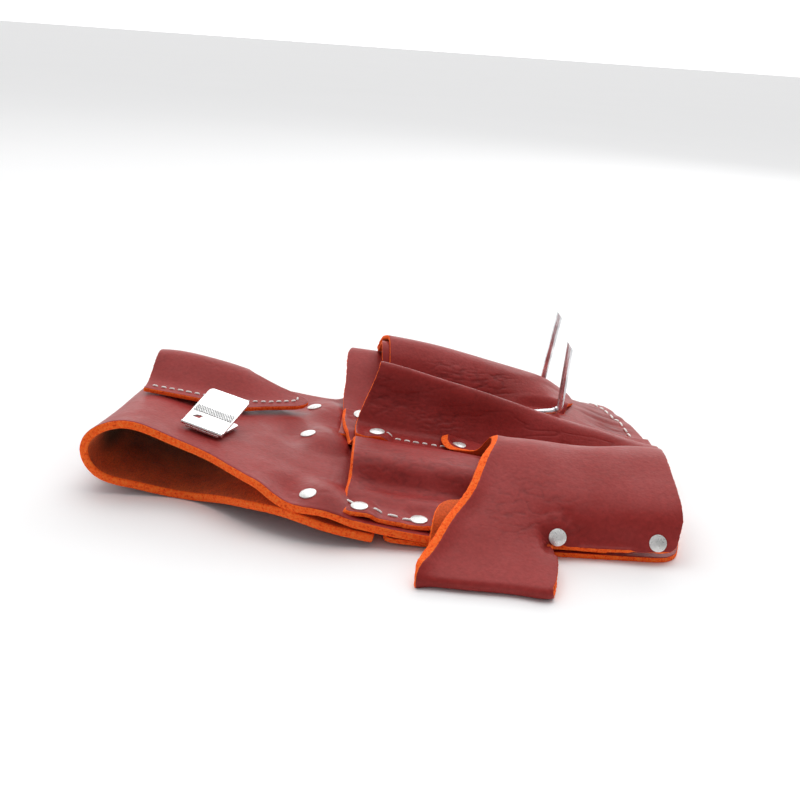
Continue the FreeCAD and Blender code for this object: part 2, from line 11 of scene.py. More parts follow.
import bpy
import numpy as np
from mathutils import Matrix, Vector
from mathutils.bvhtree import BVHTree


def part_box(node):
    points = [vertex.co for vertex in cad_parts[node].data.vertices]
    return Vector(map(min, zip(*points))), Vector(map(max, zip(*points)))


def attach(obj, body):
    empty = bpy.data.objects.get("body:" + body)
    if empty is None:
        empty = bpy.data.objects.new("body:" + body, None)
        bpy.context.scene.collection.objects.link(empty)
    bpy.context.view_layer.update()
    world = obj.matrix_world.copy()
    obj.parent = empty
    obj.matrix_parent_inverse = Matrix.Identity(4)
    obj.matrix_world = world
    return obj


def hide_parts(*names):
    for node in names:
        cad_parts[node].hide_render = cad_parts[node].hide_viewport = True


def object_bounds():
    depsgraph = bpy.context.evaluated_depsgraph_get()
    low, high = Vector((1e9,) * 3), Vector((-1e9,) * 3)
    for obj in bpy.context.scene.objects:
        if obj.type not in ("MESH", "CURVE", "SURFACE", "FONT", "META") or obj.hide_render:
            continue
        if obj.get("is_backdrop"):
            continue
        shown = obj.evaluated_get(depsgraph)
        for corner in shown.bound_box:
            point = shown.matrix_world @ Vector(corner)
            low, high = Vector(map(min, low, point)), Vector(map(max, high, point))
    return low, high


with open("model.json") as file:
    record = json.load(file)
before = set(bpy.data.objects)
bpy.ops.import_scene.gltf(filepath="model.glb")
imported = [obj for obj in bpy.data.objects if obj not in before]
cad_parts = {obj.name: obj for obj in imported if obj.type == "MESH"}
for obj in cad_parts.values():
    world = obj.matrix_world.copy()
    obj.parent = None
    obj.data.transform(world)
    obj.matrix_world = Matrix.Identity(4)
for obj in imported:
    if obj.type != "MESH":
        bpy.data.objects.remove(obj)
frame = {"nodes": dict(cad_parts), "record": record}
bounds_at_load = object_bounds()

# ---------------- sizes in millimetres
MM = 1000.0
panel_low, panel_high = (np.array(corner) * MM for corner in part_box("back_panel"))
loop_low = np.array(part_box("belt_loop")[0]) * MM
PANEL_LEFT = -6.0
ORIGIN = np.array([panel_low[0] - PANEL_LEFT, panel_low[1], 0.0])
WIDTH = panel_high[1] - panel_low[1]
MIDDLE = WIDTH / 2
BOTTOM = panel_high[0] - ORIGIN[0]
TUNNEL_LEFT = loop_low[0] - ORIGIN[0]
LOOP_FAR_EDGE = 150.0
LOOP_INSET = 38.0
BOTTOM_BOW = 19.0
CORNER = 8.0
PANEL_CORNER = 3.0
# thicknesses of the leather, and the air between two plies
STRAP = 4.2
PANEL = 2.6
PLY = 2.4
GAP = 0.4
# the back panel lies flat from here to the bottom, and lifts by this much at its left edge
FLAT_FROM = 44.0
LIFT = 2.4


# ---------------- numbers and curves
TINY = 1e-9
NOISE_CELLS = 32
TRIM_ROUNDS = 6


def mix(start, end, share):
    return start + (end - start) * share


def smooth_step(value, start, end):
    share = np.clip((value - start) / (end - start), 0.0, 1.0)
    return share * share * (3.0 - 2.0 * share)


def band(value, start, full, fade, end):
    """Rises from 0 to 1 between start and full, and falls back between fade and end."""
    return smooth_step(value, start, full) * (1 - smooth_step(value, fade, end))


def bell(value, middle, width):
    return np.exp(-(((value - middle) / width) ** 2))


def unit(vectors):
    return vectors / np.maximum(np.linalg.norm(vectors, axis=-1, keepdims=True), TINY)


def natural_spline(knots, values, at):
    """A natural cubic spline through values at the knots, read at other places."""
    knots = np.asarray(knots, float)
    values = np.asarray(values, float)
    at = np.asarray(at, float)
    flat = values.reshape(len(knots), -1)
    steps = np.diff(knots)
    slopes = np.diff(flat, axis=0) / steps[:, None]
    matrix = np.eye(len(knots))
    target = np.zeros_like(flat)
    for row in range(1, len(knots) - 1):
        matrix[row, row - 1] = steps[row - 1]
        matrix[row, row] = 2 * (steps[row - 1] + steps[row])
        matrix[row, row + 1] = steps[row]
        target[row] = 6 * (slopes[row] - slopes[row - 1])
    bend = np.linalg.solve(matrix, target)
    part = np.clip(np.searchsorted(knots, at) - 1, 0, len(knots) - 2)
    run = (at - knots[part])[:, None]
    step = steps[part][:, None]
    first = slopes[part] - step * (2 * bend[part] + bend[part + 1]) / 6
    third = (bend[part + 1] - bend[part]) / (6 * step)
    result = flat[part] + run * (first + run * (bend[part] / 2 + run * third))
    return result.reshape((len(at),) + values.shape[1:])


def run_along(points):
    """The distance from the first point to each point, along the path."""
    return np.concatenate([[0.0], np.cumsum(np.linalg.norm(np.diff(points, axis=0), axis=1))])


def resampled(points, count):
    """Points spread evenly along a path."""
    run = run_along(points)
    marks = np.linspace(0, run[-1], count)
    return np.stack([np.interp(marks, run, column) for column in points.T], 1)


def evenly(points, count):
    """Points spread evenly along a smooth curve through the given points."""
    points = np.asarray(points, float)
    chords = np.sqrt(np.linalg.norm(np.diff(points, axis=0), axis=1))
    knots = np.concatenate([[0.0], np.cumsum(chords)])
    fine = natural_spline(knots, points, np.linspace(0, knots[-1], count * 4))
    return resampled(fine, count)


def curve_of(points, samples=600):
    """A smooth function through (input, output) points with rising inputs."""
    inputs, outputs = zip(*points)
    fine = np.linspace(inputs[0], inputs[-1], samples)
    heights = natural_spline(inputs, outputs, fine)
    return lambda value: np.interp(value, fine, heights)


class Noise:
    """Smooth seeded noise between -1 and 1. The size is the length of one wave, per axis."""

    def __init__(self, seed):
        self.table = np.random.default_rng(seed).uniform(-1, 1, (NOISE_CELLS,) * 3)

    def __call__(self, points, size):
        place = points / np.asarray(size, float)
        cell = np.floor(place).astype(int)
        share = place - cell
        share = share**3 * (share * (share * 6 - 15) + 10)
        total = np.zeros(points.shape[:-1])
        for corner in np.ndindex(2, 2, 2):
            weight = np.prod(np.where(corner, share, 1 - share), axis=-1)
            index = (cell + np.array(corner)) % NOISE_CELLS
            total += weight * self.table[index[..., 0], index[..., 1], index[..., 2]]
        return total


class Loft:
    """A smooth surface through paths drawn at several places along an axis."""

    def __init__(self, stations, samples=360, places=320, cut_y=None, cut_share=0.5):
        marks = np.array([place for place, path in stations], float)
        paths = np.array([path for place, path in stations], float)
        self.low, self.high = marks[0], marks[-1]
        self.places, self.samples = places, samples
        control = natural_spline(marks, paths, np.linspace(self.low, self.high, places))
        if cut_y is None:
            self.table = np.array([evenly(path, samples) for path in control])
        else:
            self.table = np.array([self.split(path, cut_y, cut_share) for path in control])

    def split(self, path, cut_y, cut_share):
        """The path sampled so that it crosses a given Y at the same share everywhere."""
        fine = evenly(path, self.samples * 3)
        row = int(np.argmax(fine[:, 0] < cut_y))
        reach = (fine[row - 1, 0] - cut_y) / (fine[row - 1, 0] - fine[row, 0])
        cross = mix(fine[row - 1], fine[row], reach)
        first = int(round(cut_share * (self.samples - 1))) + 1
        before = resampled(np.vstack([fine[:row], cross]), first)
        after = resampled(np.vstack([cross, fine[row:]]), self.samples - first + 1)
        return np.vstack([before, after[1:]])

    def __call__(self, place, share):
        """The two path coordinates at a place along the axis and a share of the path."""
        across = np.clip((place - self.low) / (self.high - self.low), 0, 1) * (self.places - 1)
        down = np.clip(share, 0, 1) * (self.samples - 1)
        i = np.clip(across.astype(int), 0, self.places - 2)
        j = np.clip(down.astype(int), 0, self.samples - 2)
        s = (across - i)[..., None]
        t = (down - j)[..., None]
        table = self.table
        near = table[i, j] * (1 - t) + table[i, j + 1] * t
        far = table[i + 1, j] * (1 - t) + table[i + 1, j + 1] * t
        return near * (1 - s) + far * s


def trimmed(loft, outline, share, guess):
    """Where along the axis the loft meets an outline, given as a function of path coordinates."""
    place = np.full(share.shape, float(guess))
    for _ in range(TRIM_ROUNDS):
        place = outline(loft(place, share))
    return place


def spread(start, end, count):
    """A row of evenly spaced values for each pair of ends."""
    return mix(start[:, None], end[:, None], np.linspace(0, 1, count)[None, :])


def lofted(loft, x, share):
    """A grid of points on a loft along X, with one share of the path for each row."""
    path = loft(x, np.repeat(share[:, None], x.shape[1], 1))
    return np.stack([x, path[..., 0], path[..., 1]], -1)


def cross_grid(loft, rows, cols, left, right):
    """A grid of points on a loft along X, between two outlines."""
    share = np.linspace(0, 1, rows)
    start = trimmed(loft, left, share, loft.low)
    end = trimmed(loft, right, share, loft.high)
    return lofted(loft, spread(start, end, cols), share)


# ---------------- meshes
def normals_of(points, side=1.0):
    along_rows = np.gradient(points, axis=0)
    along_cols = np.gradient(points, axis=1)
    return unit(np.cross(along_cols, along_rows) * side)


def pushed(points, amount, side=1.0):
    """The grid moved along its normals."""
    return points + normals_of(points, side) * amount[..., None]


def new_mesh(name, points, quads, slots, materials, painted_shade=None):
    """An object from points in millimetres, four-sided faces and a material slot per face."""
    used = np.unique(quads)
    renumber = np.zeros(len(points), int)
    renumber[used] = np.arange(len(used))
    quads = renumber[quads]
    points = (points[used] + ORIGIN) / MM
    mesh = bpy.data.meshes.new(name)
    mesh.vertices.add(len(points))
    mesh.vertices.foreach_set("co", points.astype(np.float32).ravel())
    mesh.loops.add(quads.size)
    mesh.loops.foreach_set("vertex_index", quads.astype(np.int32).ravel())
    mesh.polygons.add(len(quads))
    mesh.polygons.foreach_set("loop_start", np.arange(0, quads.size, 4, dtype=np.int32))
    mesh.polygons.foreach_set("material_index", np.asarray(slots, np.int32))
    mesh.polygons.foreach_set("use_smooth", np.ones(len(quads), bool))
    for material in materials:
        mesh.materials.append(material)
    # the crease attribute carries painted shade per point, which the leather materials darken by
    if painted_shade is not None:
        layer = mesh.attributes.new("crease", "FLOAT", "POINT")
        layer.data.foreach_set("value", painted_shade[used].astype(np.float32))
    mesh.update(calc_edges=True)
    mesh.validate()
    item = bpy.data.objects.new(name, mesh)
    bpy.context.scene.collection.objects.link(item)
    return item


# a cut edge: its strips, how far it bulges per thickness, and the squareness of its section
EDGE_STRIPS = 6
EDGE_BULGE = 0.26
EDGE_FLATNESS = 0.75
EDGE_ROUNDNESS = 0.7
EDGE_NOISE = Noise(11)
FUZZ_WAVE = 1.1
GRAIN_SLOT, FLESH_SLOT, EDGE_SLOT = 0, 1, 2


def slid_back(face, bevel, fade=14.0):
    """A face of the leather drawn back from the first column by bevel, fading out further in."""
    along = np.stack([run_along(row) for row in face])
    moved = along + bevel * np.clip(1 - along / fade, 0, 1) ** 2
    out = np.empty_like(face)
    for row in range(len(face)):
        for axis in range(3):
            out[row, :, axis] = np.interp(moved[row], along[row], face[row, :, axis])
    return out


def open_edges(cells, count):
    """The edges that only one cell uses, as the numbers of their starts and ends."""
    starts = cells.ravel()
    ends = np.roll(cells, -1, axis=1).ravel()
    single = ~np.isin(starts * count + ends, ends * count + starts)
    return starts[single], ends[single]


def outward(middle, normal, starts, ends, rim):
    """The direction out of the panel at each point of its rim."""
    out = np.zeros_like(middle)
    step = unit(np.cross(middle[ends] - middle[starts], normal[starts]))
    np.add.at(out, starts, step)
    np.add.at(out, ends, step)
    return unit(out[rim])


def edge_rings(top, under, out, thickness, rough):
    """Rings of points from the grain face round the cut edge towards the flesh face."""
    for strip in range(1, EDGE_STRIPS):
        angle = math.pi * strip / EDGE_STRIPS
        height = math.copysign(abs(math.cos(angle)) ** EDGE_FLATNESS, math.cos(angle))
        reach = thickness * EDGE_BULGE * math.sin(angle) ** EDGE_ROUNDNESS
        ring = mix(under, top, (1 + height) / 2)
        fuzz = EDGE_NOISE(ring, FUZZ_WAVE) * rough * math.sin(angle)
        yield ring + out * (reach + fuzz)[:, None]


def leather(
    name, points, thickness, side=1.0, keep=None, relief=None, crease=None, rough=0.22, soil=None,
    bevel=None,
):
    """A leather panel round a grid of mid points: grain face, flesh face and raw cut edges.

    side turns the grain face over, keep says which cells exist, relief lifts the grain face
    and crease paints shade into it, rough is the fuzz of the cut, soil paints shade on the
    flesh face, and bevel is how far the cut at the first column leans back.
    """
    rows, cols = points.shape[:2]
    count = rows * cols
    normal = normals_of(points, side).reshape(-1, 3)
    middle = points.reshape(-1, 3)
    lift = np.zeros(count) if relief is None else relief.reshape(-1)
    top = middle + normal * (thickness / 2 + lift)[:, None]
    under = middle - normal * (thickness / 2)
    if bevel is not None:
        top = slid_back(top.reshape(points.shape), bevel).reshape(-1, 3)
    number = np.arange(count).reshape(rows, cols)
    cells = [number[:-1, :-1], number[:-1, 1:], number[1:, 1:], number[1:, :-1]]
    if side < 0:
        cells = cells[::-1]
    cells = np.stack(cells, -1)
    cells = cells.reshape(-1, 4) if keep is None else cells[keep]
    starts, ends = open_edges(cells, count)
    rim = np.unique(starts)
    out = outward(middle, normal, starts, ends, rim)
    rings = [rim]
    layers = [top, under]
    total = 2 * count
    for ring in edge_rings(top[rim], under[rim], out, thickness, rough):
        layers.append(ring)
        rings.append(total + np.arange(len(rim)))
        total += len(rim)
    rings.append(rim + count)
    faces = [cells, cells[:, ::-1] + count]
    slots = [np.full(len(cells), GRAIN_SLOT), np.full(len(cells), FLESH_SLOT)]
    a, b = np.searchsorted(rim, starts), np.searchsorted(rim, ends)
    for upper, lower in zip(rings, rings[1:]):
        faces.append(np.stack([upper[b], upper[a], lower[a], lower[b]], -1))
        slots.append(np.full(len(a), GRAIN_SLOT if upper is rim else EDGE_SLOT))
    shade = np.zeros(total)
    # painted shade: crease values on the grain face and soil values on the flesh face darken the materials
    if crease is not None:
        shade[:count] = crease.reshape(-1)
    if soil is not None:
        shade[count:2 * count] = soil.reshape(-1)
    materials = [MATERIALS["grain"], MATERIALS["flesh"], MATERIALS["edge"]]
    solid = np.concatenate(layers)
    solid[:, 2] = np.maximum(solid[:, 2], 0.0)
    return new_mesh(name, solid, np.concatenate(faces), np.concatenate(slots), materials, shade)


def wrinkles(points, size, seed, sharpness=0.3):
    """Depth of creases, 0 to 1, along lines where seeded noise crosses zero."""
    field = Noise(seed)(points, size) + 0.4 * Noise(seed + 1)(points, np.asarray(size) * 0.45)
    return np.clip(1 - np.abs(field) / sharpness, 0, 1) ** 1.5


# ---------------- rivets, from the frame
def loose_parts(node):
    """The vertices of each separate solid in a CAD node, in the pouch's own millimetres."""
    mesh = frame["nodes"][node].data
    places = np.array([vertex.co for vertex in mesh.vertices]) * MM - ORIGIN
    rounded, same = np.unique(np.round(places, 3), axis=0, return_inverse=True)
    same = same.reshape(-1)
    group = np.arange(len(rounded))
    ends = np.array([edge.vertices[:] for edge in mesh.edges])
    ends = same[ends]
    changed = True
    while changed:
        low = np.minimum(group[ends[:, 0]], group[ends[:, 1]])
        before = group.copy()
        np.minimum.at(group, ends[:, 0], low)
        np.minimum.at(group, ends[:, 1], low)
        group = group[group]
        changed = bool((group != before).any())
    return [rounded[group == number] for number in np.unique(group)]


# a cap's flat seat, how deep under it the leather is still pressed, and where puckers run
SEAT_REACH = 4.6
SEAT_DEPTH = 12.0
PUCKER_DEPTH = 10.0
PUCKER_RISE = (3.6, 6.0)
PUCKER_FADE = 7.0


class Rivet:
    """Where a rivet's cap sits on the leather, and which way it points."""

    def __init__(self, places):
        centre = places.mean(0)
        values, vectors = np.linalg.eigh(np.cov((places - centre).T))
        odd = int(np.argmax([abs(value - np.median(values)) for value in values]))
        self.axis = vectors[:, odd]
        height = (places - centre) @ self.axis
        reach = np.linalg.norm(places - centre - height[:, None] * self.axis, axis=1)
        cap = height[reach > reach.max() * 0.9]
        if cap.mean() < (height.max() + height.min()) / 2:
            self.axis = -self.axis
            cap = -cap
        self.radius = reach.max()
        self.place = centre + self.axis * cap.min()


def rivets_of(name):
    return [Rivet(places) for places in loose_parts(f"{name}_rivets")]


RIVETS = {name: rivets_of(name) for name in ("closure", "side_pocket", "long_pocket", "sheath")}


def seated(points, rivets, depth, far=11.0, near=SEAT_REACH):
    """The grid pressed down so that its mid surface passes a given depth under each cap."""
    for rivet in rivets:
        away = points - rivet.place
        height = away @ rivet.axis
        reach = np.linalg.norm(away - height[..., None] * rivet.axis, axis=-1)
        weight = (1 - smooth_step(reach, near, far)) * (np.abs(height) < SEAT_DEPTH)
        points = points + ((-depth - height) * weight)[..., None] * rivet.axis
    return points


def puckers(points, rivets, seed, size=0.3, reach=15.0):
    """Small folds that run out from each rivet."""
    total = np.zeros(points.shape[:-1])
    for number, rivet in enumerate(rivets):
        away = points - rivet.place
        height = away @ rivet.axis
        flat = away - height[..., None] * rivet.axis
        side = np.cross(rivet.axis, [1.0, 0.0, 0.0])
        side = side / np.linalg.norm(side)
        angle = np.arctan2(flat @ side, flat @ np.cross(side, rivet.axis))
        radius = np.linalg.norm(flat, axis=-1)
        window = band(radius, *PUCKER_RISE, PUCKER_FADE, reach)
        turn = np.random.default_rng(seed + number).uniform(0, 6.28, 3)
        folds = np.cos(7 * angle + turn[0]) + 0.6 * np.cos(11 * angle + turn[1])
        folds = folds * (0.6 + 0.4 * np.cos(2 * angle + turn[2]))
        total += np.minimum(folds, 0.3) * window * (np.abs(height) < PUCKER_DEPTH) * size
    return total


# ---------------- materials
# the colour sockets of a mix node
MIX_FACTOR, MIX_FIRST, MIX_SECOND, MIX_RESULT = 0, 6, 7, 2


class Nodes:
    """A short way to build a material's nodes."""

    def __init__(self, name):
        self.material = bpy.data.materials.new(name)
        self.material.use_nodes = True
        self.tree = self.material.node_tree
        self.shader = self.tree.nodes["Principled BSDF"]
        self.place = self.add("ShaderNodeTexCoord").outputs["Object"]

    def add(self, kind, **inputs):
        node = self.tree.nodes.new(kind)
        for name, value in inputs.items():
            self.feed(node, name, value)
        return node

    def plug(self, socket, value):
        """Links a socket to another node's output, or sets its constant."""
        if isinstance(value, bpy.types.NodeSocket):
            self.tree.links.new(value, socket)
        else:
            socket.default_value = value

    def feed(self, node, name, value):
        self.plug(node.inputs[name.replace("_", " ")], value)

    def shade(self, **inputs):
        for name, value in inputs.items():
            self.feed(self.shader, name, value)

    def noise(self, scale, detail=3.0, roughness=0.55, stretch=None):
        place = self.place
        if stretch:
            place = self.add("ShaderNodeMapping", Vector=place, Scale=stretch).outputs["Vector"]
        node = self.add("ShaderNodeTexNoise", Vector=place, Scale=scale, Detail=detail, Roughness=roughness)
        return node.outputs["Fac"]

    def cells(self, scale):
        node = self.add("ShaderNodeTexVoronoi", Vector=self.place, Scale=scale)
        node.feature = "SMOOTH_F1"
        return node.outputs["Distance"]

    def ramp(self, fac, *stops):
        node = self.add("ShaderNodeValToRGB", Fac=fac)
        ramp = node.color_ramp
        while len(ramp.elements) < len(stops):
            ramp.elements.new(0.5)
        for element, (place, colour) in zip(ramp.elements, stops):
            element.position = place
            element.color = (*colour, 1.0)
        return node.outputs["Color"]

    def grey(self, fac, low, high, start=0.0, end=1.0):
        return self.ramp(fac, (start, (low,) * 3), (end, (high,) * 3))

    def times(self, value, factor):
        node = self.tree.nodes.new("ShaderNodeMath")
        node.operation = "MULTIPLY"
        self.plug(node.inputs[0], value)
        self.plug(node.inputs[1], factor)
        return node.outputs["Value"]

    def blend(self, fac, first, second, how="MIX"):
        node = self.tree.nodes.new("ShaderNodeMix")
        node.data_type = "RGBA"
        node.blend_type = how
        for number, value in ((MIX_FACTOR, fac), (MIX_FIRST, first), (MIX_SECOND, second)):
            self.plug(node.inputs[number], (*value, 1.0) if isinstance(value, tuple) else value)
        return node.outputs[MIX_RESULT]

    def bump(self, height, strength, distance, normal=None):
        node = self.add("ShaderNodeBump", Height=height, Strength=strength, Distance=distance)
        if normal is not None:
            self.feed(node, "Normal", normal)
        return node.outputs["Normal"]

    def value(self, name):
        node = self.tree.nodes.new("ShaderNodeAttribute")
        node.attribute_name = name
        return node.outputs["Fac"]


def grain_leather():
    """The dyed outer face: oxblood, satin, pebbled, with painted shade in its creases."""
    nodes = Nodes("oxblood_grain")
    blotch = nodes.noise(22.0, 4.0)
    colour = nodes.ramp(
        blotch,
        (0.25, (0.230, 0.017, 0.014)),
        (0.50, (0.300, 0.027, 0.024)),
        (0.78, (0.350, 0.042, 0.040)),
    )
    fine = nodes.noise(520.0, 3.0, 0.6)
    colour = nodes.blend(0.35, colour, nodes.grey(fine, 0.55, 1.25, 0.3, 0.7), "MULTIPLY")
    # painted shade: the grain is blended towards a near-black red where the crease attribute marks a crease
    crease_shade = nodes.times(nodes.value("crease"), 0.75)
    colour = nodes.blend(crease_shade, colour, (0.085, 0.010, 0.011))
    pebble = nodes.cells(780.0)
    coarse = nodes.noise(260.0, 4.0, 0.6)
    normal = nodes.bump(coarse, 0.22, 0.0006)
    normal = nodes.bump(pebble, 0.20, 0.00035, normal)
    rough = nodes.grey(nodes.noise(75.0, 3.0), 0.36, 0.50, 0.3, 0.7)
    nodes.shade(Base_Color=colour, Roughness=rough, Normal=normal, Specular_IOR_Level=0.15)
    return nodes.material


def flesh_leather():
    """The raw inner face: orange suede with short fibres and red stains, and painted shade from the crease
    attribute.
    """
    nodes = Nodes("orange_flesh")
    stain = nodes.noise(60.0, 5.0, 0.65)
    colour = nodes.ramp(
        stain,
        (0.28, (0.42, 0.045, 0.010)),
        (0.50, (0.68, 0.085, 0.014)),
        (0.75, (0.82, 0.135, 0.024)),
    )
    fibre = nodes.noise(1400.0, 3.0, 0.7, (1.0, 0.35, 1.0))
    colour = nodes.blend(0.6, colour, nodes.grey(fibre, 0.45, 1.35, 0.3, 0.7), "MULTIPLY")
    # painted shade: the flesh darkens to near black where the crease attribute holds the tunnel's shade
    colour = nodes.blend(nodes.value("crease"), colour, (0.030, 0.006, 0.004))
    normal = nodes.bump(fibre, 0.6, 0.0006)
    normal = nodes.bump(nodes.noise(420.0, 4.0, 0.7), 0.5, 0.0008, normal)
    nodes.shade(Base_Color=colour, Roughness=0.95, Normal=normal, Specular_IOR_Level=0.15)
    nodes.shade(Sheen_Weight=0.25, Sheen_Roughness=0.6, Sheen_Tint=(1.0, 0.55, 0.30, 1.0))
    return nodes.material


def cut_edge():
    """A raw cut edge: bright orange fibres between the two faces."""
    nodes = Nodes("orange_cut_edge")
    speck = nodes.noise(900.0, 4.0, 0.7)
    colour = nodes.ramp(
        speck,
        (0.28, (0.52, 0.034, 0.006)),
        (0.44, (1.00, 0.110, 0.011)),
        (0.70, (1.00, 0.230, 0.040)),
    )
    normal = nodes.bump(nodes.noise(1600.0, 3.0, 0.7), 0.55, 0.0005)
    nodes.shade(Base_Color=colour, Roughness=0.90, Normal=normal, Specular_IOR_Level=0.2)
    return nodes.material


def waxed_thread():
    """White waxed thread, a little soiled."""
    nodes = Nodes("white_waxed_thread")
    dirt = nodes.noise(700.0, 3.0)
    colour = nodes.ramp(dirt, (0.30, (0.80, 0.73, 0.68)), (0.55, (0.95, 0.93, 0.90)))
    normal = nodes.bump(nodes.noise(2600.0, 2.0, 0.6), 0.4, 0.0003)
    nodes.shade(Base_Color=colour, Roughness=0.55, Normal=normal)
    nodes.shade(Sheen_Weight=0.2, Sheen_Roughness=0.5)
    return nodes.material


def metal(name, dark, bright, rough_low, rough_high, scratch_stretch, bump=0.08, metallic=1.0):
    """Plated metal: faint tarnish, fine scratches and uneven gloss."""
    nodes = Nodes(name)
    tarnish = nodes.noise(180.0, 4.0)
    colour = nodes.ramp(tarnish, (0.32, dark), (0.60, bright))
    scratch = nodes.noise(900.0, 2.0, 0.6, scratch_stretch)
    rough = nodes.grey(scratch, rough_low, rough_high, 0.35, 0.65)
    normal = nodes.bump(scratch, bump, 0.0002)
    nodes.shade(Base_Color=colour, Roughness=rough, Normal=normal, Metallic=metallic)
    return nodes.material


def studio_white():
    """The floor's matt white."""
    nodes = Nodes("studio_white")
    colour = nodes.grey(nodes.noise(2.0, 2.0), 0.93, 0.95)
    nodes.shade(Base_Color=colour, Roughness=0.9, Specular_IOR_Level=0.1)
    return nodes.material


EVEN = (1, 1, 1)
MATERIALS = {
    "grain": grain_leather(),
    "flesh": flesh_leather(),
    "edge": cut_edge(),
    "thread": waxed_thread(),
    "rivet": metal("nickel_rivet", (0.62, 0.62, 0.60), (0.84, 0.84, 0.82), 0.26, 0.42, EVEN, 0.08, 0.45),
    "clip": metal("bright_nickel", (0.58, 0.58, 0.57), (0.80, 0.80, 0.80), 0.18, 0.34, (0.2, 1, 1)),
    "wire": metal(
        "plated_wire", (0.52, 0.52, 0.54), (0.86, 0.87, 0.89), 0.14, 0.30, (1, 1, 0.08), 0.12, 0.8
    ),
    "white": studio_white(),
}


# ---------------- outlines seen from above
def corner_drop(radius, from_side):
    """How far a round corner draws an edge back, at a distance from the side."""
    inside = np.maximum(radius - from_side, 0.0)
    return radius - np.sqrt(np.maximum(radius**2 - inside**2, 0.0))


def bottom_bow(y):
    return BOTTOM_BOW * ((y - MIDDLE) / MIDDLE) ** 2


def bottom_outline(inset):
    """The bowed bottom edge with its two rounded corners, as a function of the path."""

    def place(path):
        y = np.clip(path[..., 0], 0.0, WIDTH)
        return BOTTOM - inset - bottom_bow(y) - corner_drop(CORNER, np.minimum(y, WIDTH - y))

    return place


def wavy(outline, seed, size=0.5, wave=17.0):
    """An outline that wanders a little, as hand-cut leather does."""
    noise = Noise(seed)

    def place(path):
        spot = np.concatenate([path, np.zeros(path.shape[:-1] + (1,))], -1)
        return outline(path) + size * noise(spot, wave)

    return place


def outline_of(points):
    """A smooth outline through (Y, X) points, as a function of the path."""
    line = curve_of(points)
    return lambda path: line(path[..., 0])


def square_cut(x):
    """An outline straight across at one X."""
    return lambda path: np.full(path.shape[:-1], x)


# ---------------- the pouch's cross-sections
def panel_lift(x):
    """How far the back panel rises off the floor towards its left edge."""
    share = np.maximum(0.0, FLAT_FROM - x) / (FLAT_FROM - PANEL_LEFT)
    return LIFT * share**2


def panel_top(x):
    return panel_lift(x) + PANEL


LEG_END = 24.0
# the heights of the front leg at its closing rivets and where it comes to rest
CLOSURE_HEIGHT = 18.2
REST_HEIGHT = 7.8
# the air between the two legs, and under the tunnel
LEG_GAP = 0.35
BELLY_GAP = 0.4


def loop_path(tunnel_top, droop, narrowing=0.0):
    """The side view of the belt loop: front leg, tunnel, back leg. One strap, folded."""
    left = TUNNEL_LEFT + narrowing + STRAP / 2
    belly = STRAP / 2 + BELLY_GAP
    shoulder = tunnel_top - STRAP / 2
    closure = CLOSURE_HEIGHT - droop
    apart = STRAP + LEG_GAP
    lower = closure - apart
    rest = REST_HEIGHT
    return [
        (LEG_END, panel_top(LEG_END) + GAP + STRAP / 2),
        (8, panel_top(8.0) + GAP + STRAP / 2),
        (-14, mix(rest, closure, 0.24)),
        (-30, mix(rest, closure, 0.62)),
        (-46, closure),
        (-66, mix(closure, shoulder, 0.25)),
        (-90, mix(closure, shoulder, 0.42)),
        (-108, mix(closure, shoulder, 0.60)),
        (-124, mix(closure, shoulder, 0.92)),
        (-137, shoulder),
        (left + 3, mix(belly, shoulder, 0.80)),
        (left, mix(belly, shoulder, 0.50)),
        (left + 7, mix(belly, shoulder, 0.20)),
        (-130, belly + 2.4),
        (-112, belly),
        (-95, belly + 1.6),
        (-77, mix(belly, lower, 0.70)),
        (-60, mix(belly, lower, 1.04)),
        (-46, lower),
        (-30, mix(rest, closure, 0.62) - apart),
        (-12, mix(rest, closure, 0.22) - apart),
    ]


LEG = evenly(loop_path(34.0, 0.0)[:7], 200)[::-1]


def leg_top(x):
    """The height of the front leg's upper face, or of the back panel's beyond it."""
    height = np.interp(x, LEG[:, 0], LEG[:, 1]) + STRAP / 2 + 0.2
    return mix(height, panel_top(x), smooth_step(x, LEG_END + 1, LEG_END + 10))


def hump(near, far, foot_near, foot_far, crest_at, crest, flange, fullness):
    """A path over a swelling pocket: a flat flange, the swelling, and a flat flange."""
    start, end = near + flange, far - flange
    lean = math.log(0.5) / math.log((crest_at - start) / (end - start))
    path = [(near, foot_near), (start - 2, foot_near)]
    for step in range(1, 8):
        share = step / 8
        foot = mix(foot_near, foot_far, share)
        swell = math.sin(math.pi * share**lean) ** fullness
        path.append((mix(start, end, share), foot + (crest - foot) * swell))
    return path + [(end + 2, foot_far), (far, foot_far)]


def height_over(loft, x, y, thickness):
    """The height of a lofted ply's upper face above a point, from its flange outwards."""
    share = np.linspace(0, 1, 240)
    path = loft(np.full(share.shape, float(x)), share)
    order = np.argsort(path[:, 0])
    return float(np.interp(y, path[order, 0], path[order, 1])) + thickness / 2


def rear_path(x, crest):
    """Across the rear pocket. Its crest moves in, and grows fuller, towards the bottom."""
    foot = float(leg_top(x)) + GAP + PLY / 2
    towards_bottom = min(max((x - 36) / (90 - 36), 0.0), 1.0)
    crest_at = mix(177, 150, towards_bottom)
    fullness = mix(0.75, 0.55, towards_bottom)
    return hump(88, WIDTH, foot, foot, crest_at, max(crest, foot + 0.6), 7, fullness)


REAR_CRESTS = [(-30, 38.0), (-14, 36.6), (0, 35.2), (26, 31.0), (42, 28.3), (62, 25.5), (90, 22.0)]
REAR_CRESTS += [(104, 18.0), (116, 13.5), (132, 9.0), (150, 7.5)]
REAR = Loft([(x, rear_path(x, crest)) for x, crest in REAR_CRESTS])


def rear_top(x, y):
    return height_over(REAR, x, y, PLY)


